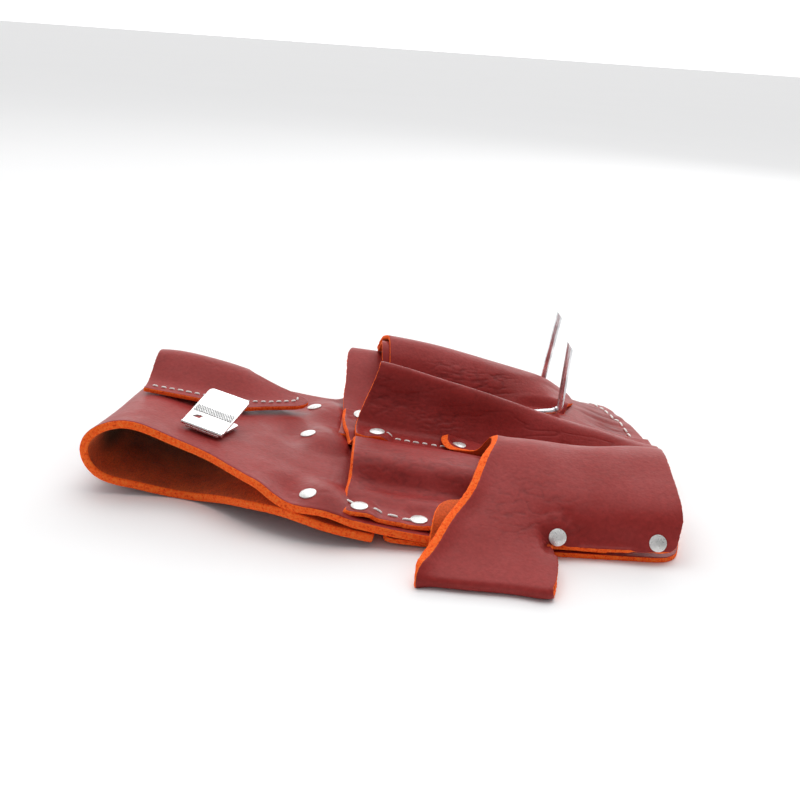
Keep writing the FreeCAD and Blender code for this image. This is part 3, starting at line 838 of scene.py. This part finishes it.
def side_path(x, crest):
    """Across the side pocket, and on over the rear pocket that its far flange lies on."""
    foot = float(leg_top(x)) + GAP + PLY / 2
    rise = crest - foot
    flank = [(12, 0.0), (18, 0.10), (25, 0.17), (31, 0.28), (36, 0.60), (41.5, 0.90), (52, 1.0)]
    flank += [(65, 0.93), (71, 0.62), (76, 0.24), (80, 0.08)]
    path = [(0.5, foot)] + [(y, foot + rise * share) for y, share in flank]
    over = [(86, 90, 0.2), (91, 91, 0.3), (96, 96, 0.3), (102, 102, 0.4), (109, 109, 0.5), (116, 116, 0.6)]
    return path + [(y, rear_top(x, at) + GAP + PLY / 2 + rise) for y, at, rise in over]


SIDE_CRESTS = [(-34, 27.4), (-25, 27.0), (0, 24.4), (26, 22.0), (42, 20.2), (60, 18.5), (96, 14.0)]
SIDE = Loft([(x, side_path(x, crest)) for x, crest in SIDE_CRESTS])


def long_path(x, crest):
    """Across the long pocket, which stands on the rear pocket."""
    low = rear_top(x, 92) + PLY + 2 * GAP + PLY / 2 + 0.6
    far = rear_top(x, 125) + GAP + PLY / 2 + 0.4
    return hump(79, 127, low, far, 109, max(crest, low + 1.0), 12, 0.7)


LONG_CRESTS = [(-26, 54.5), (-10, 52.6), (8, 48.6), (30, 43.0), (56, 36.0), (90, 26.0)]
LONG_CRESTS += [(116, 19.8), (134, 15.0), (150, 12.0)]
LONG = Loft([(x, long_path(x, crest)) for x, crest in LONG_CRESTS])


def far_path(x, crest, near_y, inward):
    """Across the far loop; inward makes the smaller ply that lies inside it."""
    near = rear_top(x, near_y + 6) + GAP + PLY / 2 + 0.6
    far = rear_top(x, 178) + GAP + PLY / 2 + 0.6
    width = 183 - inward
    return hump(near_y + inward, width, near, far, 162 - inward / 2, crest, 5, 0.55)


FAR_NEAR_EDGE = 134.5
FAR_CRESTS = [(-20, 53.5), (-6, 52.0), (20, 48.2), (50, 41.4), (76, 35.0), (90, 30.0)]
FAR_CRESTS += [(101, 22.5), (110, 16.5)]
FAR = Loft([(x, far_path(x, crest, FAR_NEAR_EDGE, 0)) for x, crest in FAR_CRESTS])


def panel(node, points, thickness, name=None, **looks):
    """A leather panel that stands for a CAD node of the pouch."""
    item = leather(name or f"{node}_leather", points, thickness, **looks)
    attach(item, "pouch")
    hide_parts(node)
    return item


def belt_loop():
    """One strap, folded into the tunnel. The tunnel's inside has painted shade on its flesh face."""
    shape = [(0, 43.5, 1.8, -4.0), (MIDDLE - 15, 33.6, 0.0, 4.0), (WIDTH, 22.0, 7.0, 13.0)]
    loft = Loft([(y, loop_path(*numbers)) for y, *numbers in shape])
    near = curve_of([
        (-175, LOOP_INSET), (-124, LOOP_INSET), (-108, LOOP_INSET - 1), (-92, 30), (-75, 16),
        (-56, 5), (-38, -1), (-18, -2), (30, -2),
    ])
    far = curve_of([
        (-175, LOOP_FAR_EDGE), (-100, LOOP_FAR_EDGE), (-60, LOOP_FAR_EDGE - 3), (-40, LOOP_FAR_EDGE - 2),
        (-30, 164), (-24, 190), (-14, WIDTH), (30, WIDTH),
    ])
    share = np.linspace(0, 1, 400)
    start = trimmed(loft, lambda path: near(path[..., 0]), share, 20)
    end = trimmed(loft, lambda path: np.minimum(far(path[..., 0]), WIDTH), share, 150)
    y = spread(start, end, 170)
    path = loft(y, np.repeat(share[:, None], 170, 1))
    points = np.stack([path[..., 0], y, path[..., 1]], -1)
    front = share[:, None, None] < 0.45
    points = pushed(points, Noise(21)(points, (46, 60, 46)) * 0.7)
    points = np.where(front, seated(points, RIVETS["closure"], STRAP / 2, 24), points)
    relief = puckers(points, RIVETS["closure"], 31, 0.12) * front[..., 0]
    relief = relief - 0.10 * wrinkles(points, (9, 26, 9), 41, 0.22)
    # painted shade: the flesh face inside the tunnel is darkened deeper in and towards its roof
    inward = points[..., 1] - LOOP_INSET
    raised = smooth_step(points[..., 2], 9, 17)
    deep = mix(smooth_step(inward, 20, 105), smooth_step(inward, 1, 30), raised)
    shade = 0.96 * deep * smooth_step(-points[..., 0], 40, 60)
    return panel("belt_loop", points, STRAP, relief=relief, rough=0.30, soil=shade)


def back_panel():
    share = np.linspace(0, 1, 205)
    y = share * WIDTH
    right = bottom_outline(0.0)(np.stack([y, y * 0], -1))
    left = PANEL_LEFT + corner_drop(PANEL_CORNER, np.minimum(y, WIDTH - y))
    x = spread(left, right, 156)
    z = panel_lift(x) + PANEL / 2
    points = np.stack([x, np.repeat(y[:, None], 156, 1), z], -1)
    return panel("back_panel", points, PANEL)


def rear_pocket():
    left = outline_of([(80, -32.5), (100, -32), (160, -32), (180, -30), (192, -24), (210, -16)])
    points = cross_grid(REAR, 150, 190, wavy(left, 51), bottom_outline(0.8))
    x, y = points[..., 0], points[..., 1]
    soft = Noise(52)(points, (34, 22, 34)) * 0.8 * smooth_step(x, -34, -10)
    seam = band(x, 92, 122, 134, 143)
    ripple = Noise(53)(points, (30, 7, 30)) * 1.3 * seam * smooth_step(y, 124, 140)
    points = pushed(points, soft + ripple)
    crease = wrinkles(points, (26, 5, 26), 54) * seam
    # crease also paints shade into the seam's wrinkles
    return panel("rear_pocket", points, PLY, relief=-0.25 * crease, crease=crease * 0.5)


def side_pocket():
    left = outline_of([
        (-5, -25.5), (20, -25), (60, -24), (72, -25), (80, -27), (96, -30), (110, -31), (120, -31),
    ])
    points = cross_grid(SIDE, 150, 130, wavy(left, 61, 0.4), square_cut(SIDE.high))
    y, x = points[..., 1], points[..., 0]
    flank = band(y, 8, 24, 50, 60)
    dent = bell(y, 31, 7) * smooth_step(x, -26, -8) * 1.6
    soft = Noise(62)(points, (30, 16, 30)) * 0.7 * flank
    points = pushed(points, soft - dent)
    points = seated(points, RIVETS["side_pocket"], PLY / 2)
    fine = wrinkles(points, (7, 3.2, 7), 63, 0.35) * flank
    relief = -0.16 * fine + puckers(points, RIVETS["side_pocket"], 64, 0.22)
    slant = np.full((len(points), 1), 1.2)
    # the wrinkles also get painted shade through crease
    return panel("side_pocket", points, PLY, relief=relief, crease=fine * 0.45, bevel=slant)


def long_pocket():
    mouth = curve_of([
        (0.0, -22.8), (0.16, -22.8), (0.3, -18.6), (0.42, -14.6), (0.56, -11.4), (0.7, -11.0), (1.0, -9),
    ])
    share = np.linspace(0, 1, 150)
    end = trimmed(LONG, bottom_outline(1.4), share, LONG.high)
    x = spread(mouth(share), end, 230)
    points = lofted(LONG, x, share)
    share = share[:, None]
    flank = band(share, 0.12, 0.24, 0.46, 0.58)
    hollow = bell(share, 0.34, 0.10) * (1 - smooth_step(x, 20, 60)) * 2.6
    soft = Noise(72)(points, (36, 12, 18)) * 0.8 * flank
    points = pushed(points, soft - hollow)
    points = seated(points, RIVETS["long_pocket"], PLY / 2, 9.0)
    fade = 1 - 0.65 * smooth_step(x, 25, 70)
    patch = np.clip(0.55 + 0.9 * Noise(76)(points, (26, 12, 12)), 0.1, 1)
    fine = wrinkles(points, (6.5, 1.5, 1.6), 73, 0.34) * flank * fade * patch
    broad = wrinkles(points, (26, 7, 6), 74, 0.16) * flank * 0.6
    relief = -0.34 * fine - 0.45 * broad + puckers(points, RIVETS["long_pocket"], 75, 0.25)
    crease = np.clip(fine * 0.45 + broad * 0.35, 0, 1)
    # the wrinkles also get painted shade through crease
    return panel("long_pocket", points, PLY, relief=relief, crease=crease)


def far_loop():
    """The far loop: its outer ply, and the inner ply whose end shows at the mouth."""
    left = outline_of([
        (130, -3.5), (138, -5.2), (146, -6.4), (158, -7.4), (165, -8.5), (176, -13), (190, -14),
    ])
    right = outline_of([(130, 92), (138, 96), (146, 100), (156, 104), (170, 102), (184, 94)])
    points = cross_grid(FAR, 110, 120, wavy(left, 81, 0.3), right)
    share = np.linspace(0, 1, 110)[:, None]
    flank = band(share, 0.08, 0.2, 0.38, 0.5)
    x = points[..., 0]
    soft = Noise(82)(points, (34, 16, 14)) * 0.9 * flank
    sunk = 4.4 * smooth_step(x, 62, 78) * (1 - smooth_step(share, 0.02, 0.15))
    points[..., 2] -= sunk
    tuck = smooth_step(x, 78, 94) * bell(share, 0.1, 0.08) * 1.4
    points = pushed(points, soft + tuck)
    fine = wrinkles(points, (8, 2.0, 2.1), 83, 0.40) * flank * band(x, 8, 24, 56, 76)
    # the wrinkles also get painted shade through crease
    looks = {"relief": -0.34 * fine, "crease": fine * 0.6}
    item = panel("far_tool_loop", points, PLY, name="far_loop_leather", **looks)
    inner = Loft([(x, far_path(x, crest - PLY - 0.6, FAR_NEAR_EDGE, 4.2)) for x, crest in FAR_CRESTS])
    inner_left = outline_of([(134, -9), (146, -10.5), (158, -11.5), (168, -12.0), (176, -13.5), (190, -14)])
    ply = cross_grid(inner, 90, 44, wavy(inner_left, 84, 0.3), square_cut(30.0))
    lining = leather("far_loop_inner_ply", ply, PLY * 0.8)
    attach(lining, "pouch")
    return item


SHEATH_SECTIONS = [
    # x, crest y and z, shoulder, low point, fold y and z, where the returning ply ends
    (-6, 60, 26.4, (12, 16.4), (-4, 14.2), -32.6, 3.2, (21, 15.4)),
    (5, 60, 28.4, (13, 17.8), (-4, 14.4), -34.0, 3.2, (21, 15.2)),
    (30, 58, 31.6, (15, 20.2), (-4, 14.4), -36.6, 3.2, (21, 14.4)),
    (56, 56, 33.6, (13, 21.8), (-4, 13.6), -39.0, 3.2, (14, 10.5)),
    (70, 55, 33.4, (9, 20.8), (-2.0, 10.8), -36, 3.4, (12, 9.5)),
    (77, 55, 33.1, (6.2, 19.4), (-0.6, 8.2), -24, 3.2, (12, 9.5)),
    (86, 54, 32.9, (5.0, 18.6), (-0.4, 7.4), -14, 3.0, (9, 9.0)),
    (100, 53, 33.2, (4.8, 18.6), (-0.4, 7.4), -14, 3.0, (9, 9.0)),
    (116, 53, 34.2, (4.8, 18.8), (-0.4, 7.4), -14, 3.0, (9, 9.0)),
    (132, 52, 34.2, (4.8, 18.8), (-0.4, 7.4), -14, 3.0, (9, 9.0)),
]
# the radius of the lip's fold
SHEATH_TURN = 1.6
# rows across the sheath, and the row where the returning ply parts from the outer one
SHEATH_ROWS = 301
CUT_ROW = 150
CUT_Y = -1.9
# where the folded lip and the sheath itself end, and how their ends are rounded
LIP_END = 70.0
LIP_ROUND_FROM = -12.0
LIP_ROUND = (10.0, 26.0)
SHEATH_END = 130.0
SHEATH_CORNER = 9.0


def sheath_path(x, crest_at, crest, shoulder, low, fold_at, fold_z, back):
    """Across the sheath: far flange, swelling, down the near side, a fold, and back in."""
    foot = rear_top(x, 90) + 2 * (PLY + GAP) + PLY / 2 + 1.4
    (shoulder_y, shoulder_z), (low_y, low_z), (back_y, back_z) = shoulder, low, back
    rise = crest - foot
    turn = SHEATH_TURN
    path = [(94, foot), (84, foot + 0.2), (75, foot + 0.8), (mix(75, crest_at, 0.45), foot + 0.62 * rise)]
    path += [(crest_at, crest), (mix(crest_at, shoulder_y, 0.5), mix(crest, shoulder_z, 0.28))]
    path += [shoulder, low, (mix(low_y, fold_at + turn, 0.55), mix(low_z, fold_z + turn, 0.6))]
    for degrees in (106, 140, 180, 225, 270):
        angle = math.radians(degrees)
        path.append((fold_at + turn + turn * math.cos(angle), fold_z + turn * math.sin(angle)))
    path += [(mix(fold_at + turn, -7.0, 0.55), 2.3), (-7.0, 4.4), (0.5, back_z - 2.0), (back_y, back_z)]
    return path


def sheath_starts(loft, share, under):
    """Where the rows begin: at the flared mouth, and at the returning ply's own mouth."""
    mouth = outline_of([
        (-42, 9.0), (-32, 8.0), (-20, 13.2), (-4, 21.0), (15, 32.0), (36, 39.5), (56, 45.7), (63, 45.0),
        (69, 42.0), (72.5, 37.0), (75, 30.0), (79, 25.0), (85, 23.0), (96, 24.0),
    ])
    inner_mouth = outline_of([
        (-42, 8.0), (-32, 8.2), (-14, 12.9), (0, 15.5), (10, 18.0), (15, 20.2), (18.5, 22.8),
        (20.3, 25.5), (22, 31.0),
    ])
    return np.where(under, trimmed(loft, inner_mouth, share, 20), trimmed(loft, mouth, share, 30))


def sheath_grid(loft, share, under):
    """The sheath's points and cells, in two blocks that meet where the folded lip ends."""
    first, second = 84, 64
    reach, depth = LIP_ROUND
    probe = loft(np.full(SHEATH_ROWS, LIP_END + 1), share)
    past = np.maximum(LIP_ROUND_FROM - probe[:, 0], 0.0)
    middle = LIP_END - reach * (1 - np.sqrt(np.clip(1 - (past / depth) ** 2, 0, 1)))
    low = loft(np.full(SHEATH_ROWS, 110.0), share)[:CUT_ROW + 1, 0]
    end = np.full(SHEATH_ROWS, SHEATH_END)
    end[:CUT_ROW + 1] -= corner_drop(SHEATH_CORNER, low - low.min())
    left_part = spread(sheath_starts(loft, share, under), middle, first)
    right_part = spread(middle, end, second)[:, 1:]
    x = np.concatenate([left_part, right_part], 1)
    keep = np.ones((SHEATH_ROWS - 1, x.shape[1] - 1), bool)
    keep[CUT_ROW:, first - 1:] = False
    return lofted(loft, x, share), keep


def sheath_flare(points, outer):
    """How far the outer ply opens towards its mouth."""
    y = points[..., 1]
    from_mouth = np.linalg.norm(points - points[:, :1], axis=-1)
    flare = 4.4 * np.clip(1 - from_mouth / 12.0, 0, 1) ** 2 * outer
    return flare * smooth_step(y, -38, -28) * (1 - 0.7 * smooth_step(y, 34, 54))


def pliers_sheath():
    """The big outer pocket: one ply whose near edge folds back on itself into a lip."""
    sections = [(section[0], sheath_path(*section)) for section in SHEATH_SECTIONS]
    rows = SHEATH_ROWS
    loft = Loft(sections, samples=3 * (rows - 1) + 1, cut_y=CUT_Y, cut_share=CUT_ROW / (rows - 1))
    share = np.linspace(0, 1, rows)
    fold_row = int(np.argmin(loft(np.full(rows, 40.0), share)[:, 0]))
    under = np.arange(rows) > fold_row
    outer = ~under[:, None]
    points, keep = sheath_grid(loft, share, under)
    y = points[..., 1]
    body = band(y, -30, -8, 60, 80) * outer
    soft = Noise(92)(points, (30, 22, 20)) * 1.1 * body
    points = pushed(points, soft + sheath_flare(points, outer), -1.0)
    near_rivets = RIVETS["sheath"]
    points = np.where(outer[..., None], seated(points, near_rivets, PLY / 2, 12.0), points)
    lip = [RIVETS["long_pocket"][1]]
    points = np.where(outer[..., None], seated(points, lip, PLY + GAP, 6.0, 3.0), points)
    pull = bell(points[..., 0], 62, 26) * bell(points[..., 1], 6, 20) * outer
    fine = wrinkles(points, (7, 4.0, 4.0), 93, 0.30) * pull
    relief = puckers(points, near_rivets[:1], 94, 0.45, 19.0) * outer - 0.25 * fine
    slant = (3.2 * outer * smooth_step(y[:, :1], -36, -24)) * np.ones((rows, 1))
    # the wrinkles also get painted shade through crease
    looks = {"relief": relief, "crease": np.clip(fine * 0.5, 0, 1), "rough": 0.3, "bevel": slant}
    return panel("pliers_sheath", points, PLY, side=-1.0, keep=keep, **looks)


# the flap's foot: its height at one place on the tunnel's roof, and the roof's slope
FLAP_FOOT = 32.5
FLAP_FOOT_AT = -111
ROOF_SLOPE = -0.135


def flap_base(x):
    return FLAP_FOOT + ROOF_SLOPE * (x - FLAP_FOOT_AT)


def tool_flap():
    shape = [(-138, 45.4), (-126, 45.2), (-112, 43.0), (-98, 39.8), (-86, 36.2), (-70, 30.6), (-50, 25.4)]
    stations = []
    for x, crest in shape:
        foot = flap_base(x)
        stations.append((x, hump(91, 148, foot, foot - 2.6, 127, max(crest, foot + 0.6), 7, 0.8)))
    loft = Loft(stations)
    right = outline_of([
        (88, -88), (93, -80), (98, -72), (105, -58.5), (110, -53.5), (114, -52), (118, -54), (121, -62),
        (124, -74), (127, -83), (131, -87), (150, -88),
    ])
    left = outline_of([(88, -136.5), (120, -136), (150, -134)])
    points = cross_grid(loft, 90, 90, left, right)
    points = pushed(points, Noise(101)(points, (40, 30, 40)) * 0.6)
    fine = wrinkles(points, (16, 8, 8), 102, 0.2)
    return panel("tool_flap", points, PLY, relief=-0.06 * fine)


# ---------------- stitches
THREAD_STEPS = 14
THREAD_SIDES = 10
THREAD_TURNS = 2.5
ABOVE_ALL = 90.0


def surface_of(item):
    """A leather piece as a surface to lay stitches on, in the pouch's own millimetres."""
    mesh = item.data
    count = len(mesh.vertices)
    places = np.zeros(count * 3, np.float32)
    mesh.vertices.foreach_get("co", places)
    places = places.reshape(-1, 3) * MM - ORIGIN
    return BVHTree.FromPolygons(places.tolist(), [face.vertices[:] for face in mesh.polygons])


def thread(start, end, up, radius, sag):
    """One stitch: a two-ply thread that bows up from one hole to the next."""
    start, end, up = (np.asarray(value, float) for value in (start, end, up))
    steps, sides = THREAD_STEPS, THREAD_SIDES
    along = (end - start) / np.linalg.norm(end - start)
    across = np.cross(up, along)
    across /= np.linalg.norm(across)
    share = np.linspace(0, 1, steps)
    height = radius * 0.55 - sag * (2 * share - 1) ** 4
    centre = start + (end - start) * share[:, None] + up * height[:, None]
    angle = np.linspace(0, 2 * math.pi, sides, endpoint=False)
    twist = THREAD_TURNS * 2 * math.pi * share
    wave = 1 + 0.16 * np.cos(2 * (angle[None, :] - twist[:, None]))
    thin = np.sqrt(np.clip(1 - (2 * share - 1) ** 8, 0.05, 1))
    reach = radius * wave * thin[:, None]
    ring = np.cos(angle)[None, :, None] * across + np.sin(angle)[None, :, None] * up
    points = centre[:, None, :] + ring * reach[..., None]
    number = np.arange(steps * sides).reshape(steps, sides)
    beside = np.roll(number, -1, axis=1)
    quads = np.stack([number[:-1], beside[:-1], beside[1:], number[1:]], -1).reshape(-1, 4)
    caps = []
    for ring_numbers, flip in ((number[0], True), (number[-1], False)):
        order = ring_numbers[::-1] if flip else ring_numbers
        for step in range(1, sides - 2, 2):
            caps.append([order[0], order[step], order[step + 1], order[step + 2]])
    return points.reshape(-1, 3), np.concatenate([quads, np.array(caps)])


def seam(name, node, surface, route, pitch, length, radius=0.55, sag=0.5, wander=0.35, seed=5):
    """Stitches along a route seen from above, laid on a leather surface."""
    random = np.random.default_rng(seed)
    route = evenly(route, 200)
    run = run_along(route)
    count = max(1, int(run[-1] / pitch))
    points, quads, total = [], [], 0
    for number in range(count):
        begin = (number + 0.5 * (1 - length / pitch)) * run[-1] / count
        ends = []
        for mark in (begin, begin + length):
            spot = [np.interp(mark, run, route[:, axis]) for axis in (0, 1)]
            spot = np.array(spot) + random.uniform(-wander, wander, 2)
            hit, normal, _, _ = surface.ray_cast(Vector((spot[0], spot[1], ABOVE_ALL)), Vector((0, 0, -1)))
            if hit is not None:
                ends.append((np.array(hit), np.array(normal)))
        if len(ends) < 2:
            continue
        (first, up), (last, up_last) = ends
        upward = up + up_last
        upward /= np.linalg.norm(upward)
        part, faces = thread(first, last, upward, radius, sag)
        points.append(part)
        quads.append(faces + total)
        total += len(part)
    quads = np.concatenate(quads)
    item = new_mesh(name, np.concatenate(points), quads, np.zeros(len(quads)), [MATERIALS["thread"]])
    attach(item, "pouch")
    if node:
        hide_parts(node)
    return item


def stitching(pieces):
    """Every row of stitches, by the route it follows as seen from above."""
    side = surface_of(pieces["side_pocket"])
    seam("side_pocket_thread", "side_pocket_stitching", side,
         [(-25, 12), (-19, 6.5), (-10, 5.8), (0, 5.2), (9, 5.0), (22, 5.5)], 6.2, 4.6, 0.6, 0.45, 0.6, 3)
    long_one = surface_of(pieces["long_pocket"])
    seam("long_pocket_thread", "long_pocket_stitching", long_one,
         [(-8, 84.5), (4, 84), (16, 84), (26, 85)], 4.4, 3.2, 0.5, 0.4, 0.25, 4)
    flap = surface_of(pieces["tool_flap"])
    seam("tool_flap_thread", "tool_flap_stitching", flap,
         [(-134, 95.5), (-112, 96), (-92, 97), (-76, 101.5), (-63, 108), (-57.5, 112.5), (-57.5, 116.5)],
         4.3, 3.0, 0.5, 0.4, 0.15, 6)
    rear = surface_of(pieces["rear_pocket"])
    bottom = [(BOTTOM - bottom_bow(y) - 7.5, y) for y in (128, 145, 162, 178, 190, 197)]
    seam("bottom_thread", "bottom_stitching", rear, bottom, 6.5, 5.0, 0.6, 0.5, 0.4, 7)
    panel = surface_of(pieces["back_panel"])
    seam("panel_edge_thread", None, panel, [(-2, 2.6), (10, 2.4)], 5.6, 3.0, 0.55, 0.4, 0.3, 8)


# ---------------- metal
# the clip's knurled band: half its length, where it lies from the hinge, its teeth and its seat
GRIP_REACH = 10.6
GRIP_BAND = (9.4, 13.4)
GRIP_PITCH = 1.5
GRIP_TOOTH = 0.5
GRIP_SINK = 0.1
GRIP_PLY = 0.3
GRIP_SEAT = 0.58


def clip_grip():
    """The knurled band pressed across the clip's springy leaf, so a thumb can tip it."""
    joint = frame["record"]["behaviour"]["joints"][0]
    across = np.array(joint["axis"], float)
    hinge = np.array(joint["pos_m"], float) * MM - ORIGIN
    faces = [face for face in frame["nodes"]["tape_clip_tongue"].data.polygons if face.normal.z > 0.5]
    upward = np.array(max(faces, key=lambda face: face.area).normal, float)
    along = np.cross(upward, across)
    reach, (near, far) = GRIP_REACH, GRIP_BAND
    x, y = np.meshgrid(np.linspace(-reach, reach, 161), np.linspace(near, far, 33))
    points = hinge + x[..., None] * across + y[..., None] * along + GRIP_SEAT * upward
    teeth = np.abs(np.sin(math.pi * (x + y) / GRIP_PITCH)) * np.abs(np.sin(math.pi * (x - y) / GRIP_PITCH))
    item = leather("clip_grip", points, GRIP_PLY, relief=GRIP_TOOTH * teeth - GRIP_SINK, rough=0.0)
    for slot in range(len(item.data.materials)):
        item.data.materials[slot] = MATERIALS["clip"]
    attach(item, "clip_tongue")


def dress_metal():
    """Gives each metal CAD node its own finish."""
    looks = {"rivets": "rivet", "burrs": "rivet", "prong": "wire", "tape_clip": "clip"}
    for name, item in frame["nodes"].items():
        for word, look in looks.items():
            if word in name:
                item.data.materials.clear()
                item.data.materials.append(MATERIALS[look])
                for face in item.data.polygons:
                    face.material_index = 0


# ---------------- floor, light, camera
# places of the floor's grid lines, in metres
FLOOR_LINES = [-40.0, -4.0, -1.0, 0.0, 1.0, 4.0, 40.0]


def studio():
    """A pale floor that reaches to the horizon."""
    points = [(x, y, 0.0) for y in FLOOR_LINES for x in FLOOR_LINES]
    across = len(FLOOR_LINES)
    corners = [row * across + col for row in range(across - 1) for col in range(across - 1)]
    quads = [(first, first + 1, first + across + 1, first + across) for first in corners]
    mesh = bpy.data.meshes.new("studio_floor")
    mesh.from_pydata(points, [], quads)
    mesh.materials.append(MATERIALS["white"])
    item = bpy.data.objects.new("studio_floor", mesh)
    bpy.context.scene.collection.objects.link(item)
    item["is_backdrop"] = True


def area_light(name, place, aim, size, power):
    """A soft rectangular lamp; lengths in metres and power in watts."""
    lamp = bpy.data.lights.new(name, "AREA")
    lamp.shape = "RECTANGLE"
    lamp.size, lamp.size_y = size
    lamp.energy = power
    item = bpy.data.objects.new(name, lamp)
    item.location = place
    turn = (Vector(aim) - Vector(place)).to_track_quat("-Z", "Y")
    item.rotation_euler = turn.to_euler()
    bpy.context.scene.collection.objects.link(item)


# the world's light: the direction that is brightest, the grey levels towards it, and its strength
BRIGHT_SIDE = (0.0, 0.94, 0.34)
DARKEST = (0.16, 0.16, 0.165, 1.0)
GREY_LEVELS = ((0.34, 0.40), (0.80, 0.62))
WORLD_STRENGTH = 2.1


def lights():
    """A world that is brightest behind and above, and three soft lamps."""
    world = bpy.data.worlds.new("studio_world")
    world.use_nodes = True
    tree = world.node_tree
    backdrop = tree.nodes["Background"]
    direction = tree.nodes.new("ShaderNodeTexCoord")
    lean = tree.nodes.new("ShaderNodeVectorMath")
    lean.operation = "DOT_PRODUCT"
    lean.inputs[1].default_value = BRIGHT_SIDE
    shade = tree.nodes.new("ShaderNodeValToRGB")
    shade.color_ramp.elements[0].color = DARKEST
    for position, level in GREY_LEVELS:
        element = shade.color_ramp.elements.new(position)
        element.color = (level, level, level, 1.0)
    tree.links.new(direction.outputs["Generated"], lean.inputs[0])
    tree.links.new(lean.outputs["Value"], shade.inputs["Fac"])
    tree.links.new(shade.outputs["Color"], backdrop.inputs["Color"])
    backdrop.inputs["Strength"].default_value = WORLD_STRENGTH
    bpy.context.scene.world = world
    area_light("overhead", (0.0, 0.25, 1.5), (0, 0.02, 0), (1.6, 1.2), 9)
    area_light("front_left", (-1.3, -1.5, 0.9), (0, 0, 0.02), (1.0, 0.8), 1.5)
    area_light("back_right", (0.9, 1.4, 0.9), (0, 0, 0.02), (0.9, 0.7), 4)


# the camera: its focal length and sensor in millimetres, and its place in metres
FOCAL_LENGTH = 44.7
SENSOR = 36.0
SHIFT = 0.005
CAMERA_PLACE = (-0.0113, -0.4894, 0.2176)
CAMERA_FORWARD = (0.0226, 0.9409, -0.3380)
CAMERA_RIGHT = (0.99777, 0.0, 0.0668)


def camera():
    lens = bpy.data.cameras.new("photo_camera")
    lens.lens = FOCAL_LENGTH
    lens.sensor_width = SENSOR
    lens.shift_x = SHIFT
    lens.clip_start = 0.01
    item = bpy.data.objects.new("photo_camera", lens)
    right = Vector(CAMERA_RIGHT).normalized()
    forward = Vector(CAMERA_FORWARD).normalized()
    up = right.cross(forward)
    turn = Matrix((right, up, -forward)).transposed().to_4x4()
    item.matrix_world = Matrix.Translation(Vector(CAMERA_PLACE)) @ turn
    bpy.context.scene.collection.objects.link(item)
    bpy.context.scene.camera = item
    bpy.context.scene.view_settings.view_transform = "Standard"


# ---------------- build
def build():
    pieces = {
        "belt_loop": belt_loop(),
        "back_panel": back_panel(),
        "rear_pocket": rear_pocket(),
        "side_pocket": side_pocket(),
        "long_pocket": long_pocket(),
        "far_tool_loop": far_loop(),
        "pliers_sheath": pliers_sheath(),
        "tool_flap": tool_flap(),
    }
    stitching(pieces)
    clip_grip()
    dress_metal()
    studio()
    lights()
    camera()


build()
[[list(corner) for corner in box] for box in (bounds_at_load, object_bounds())]
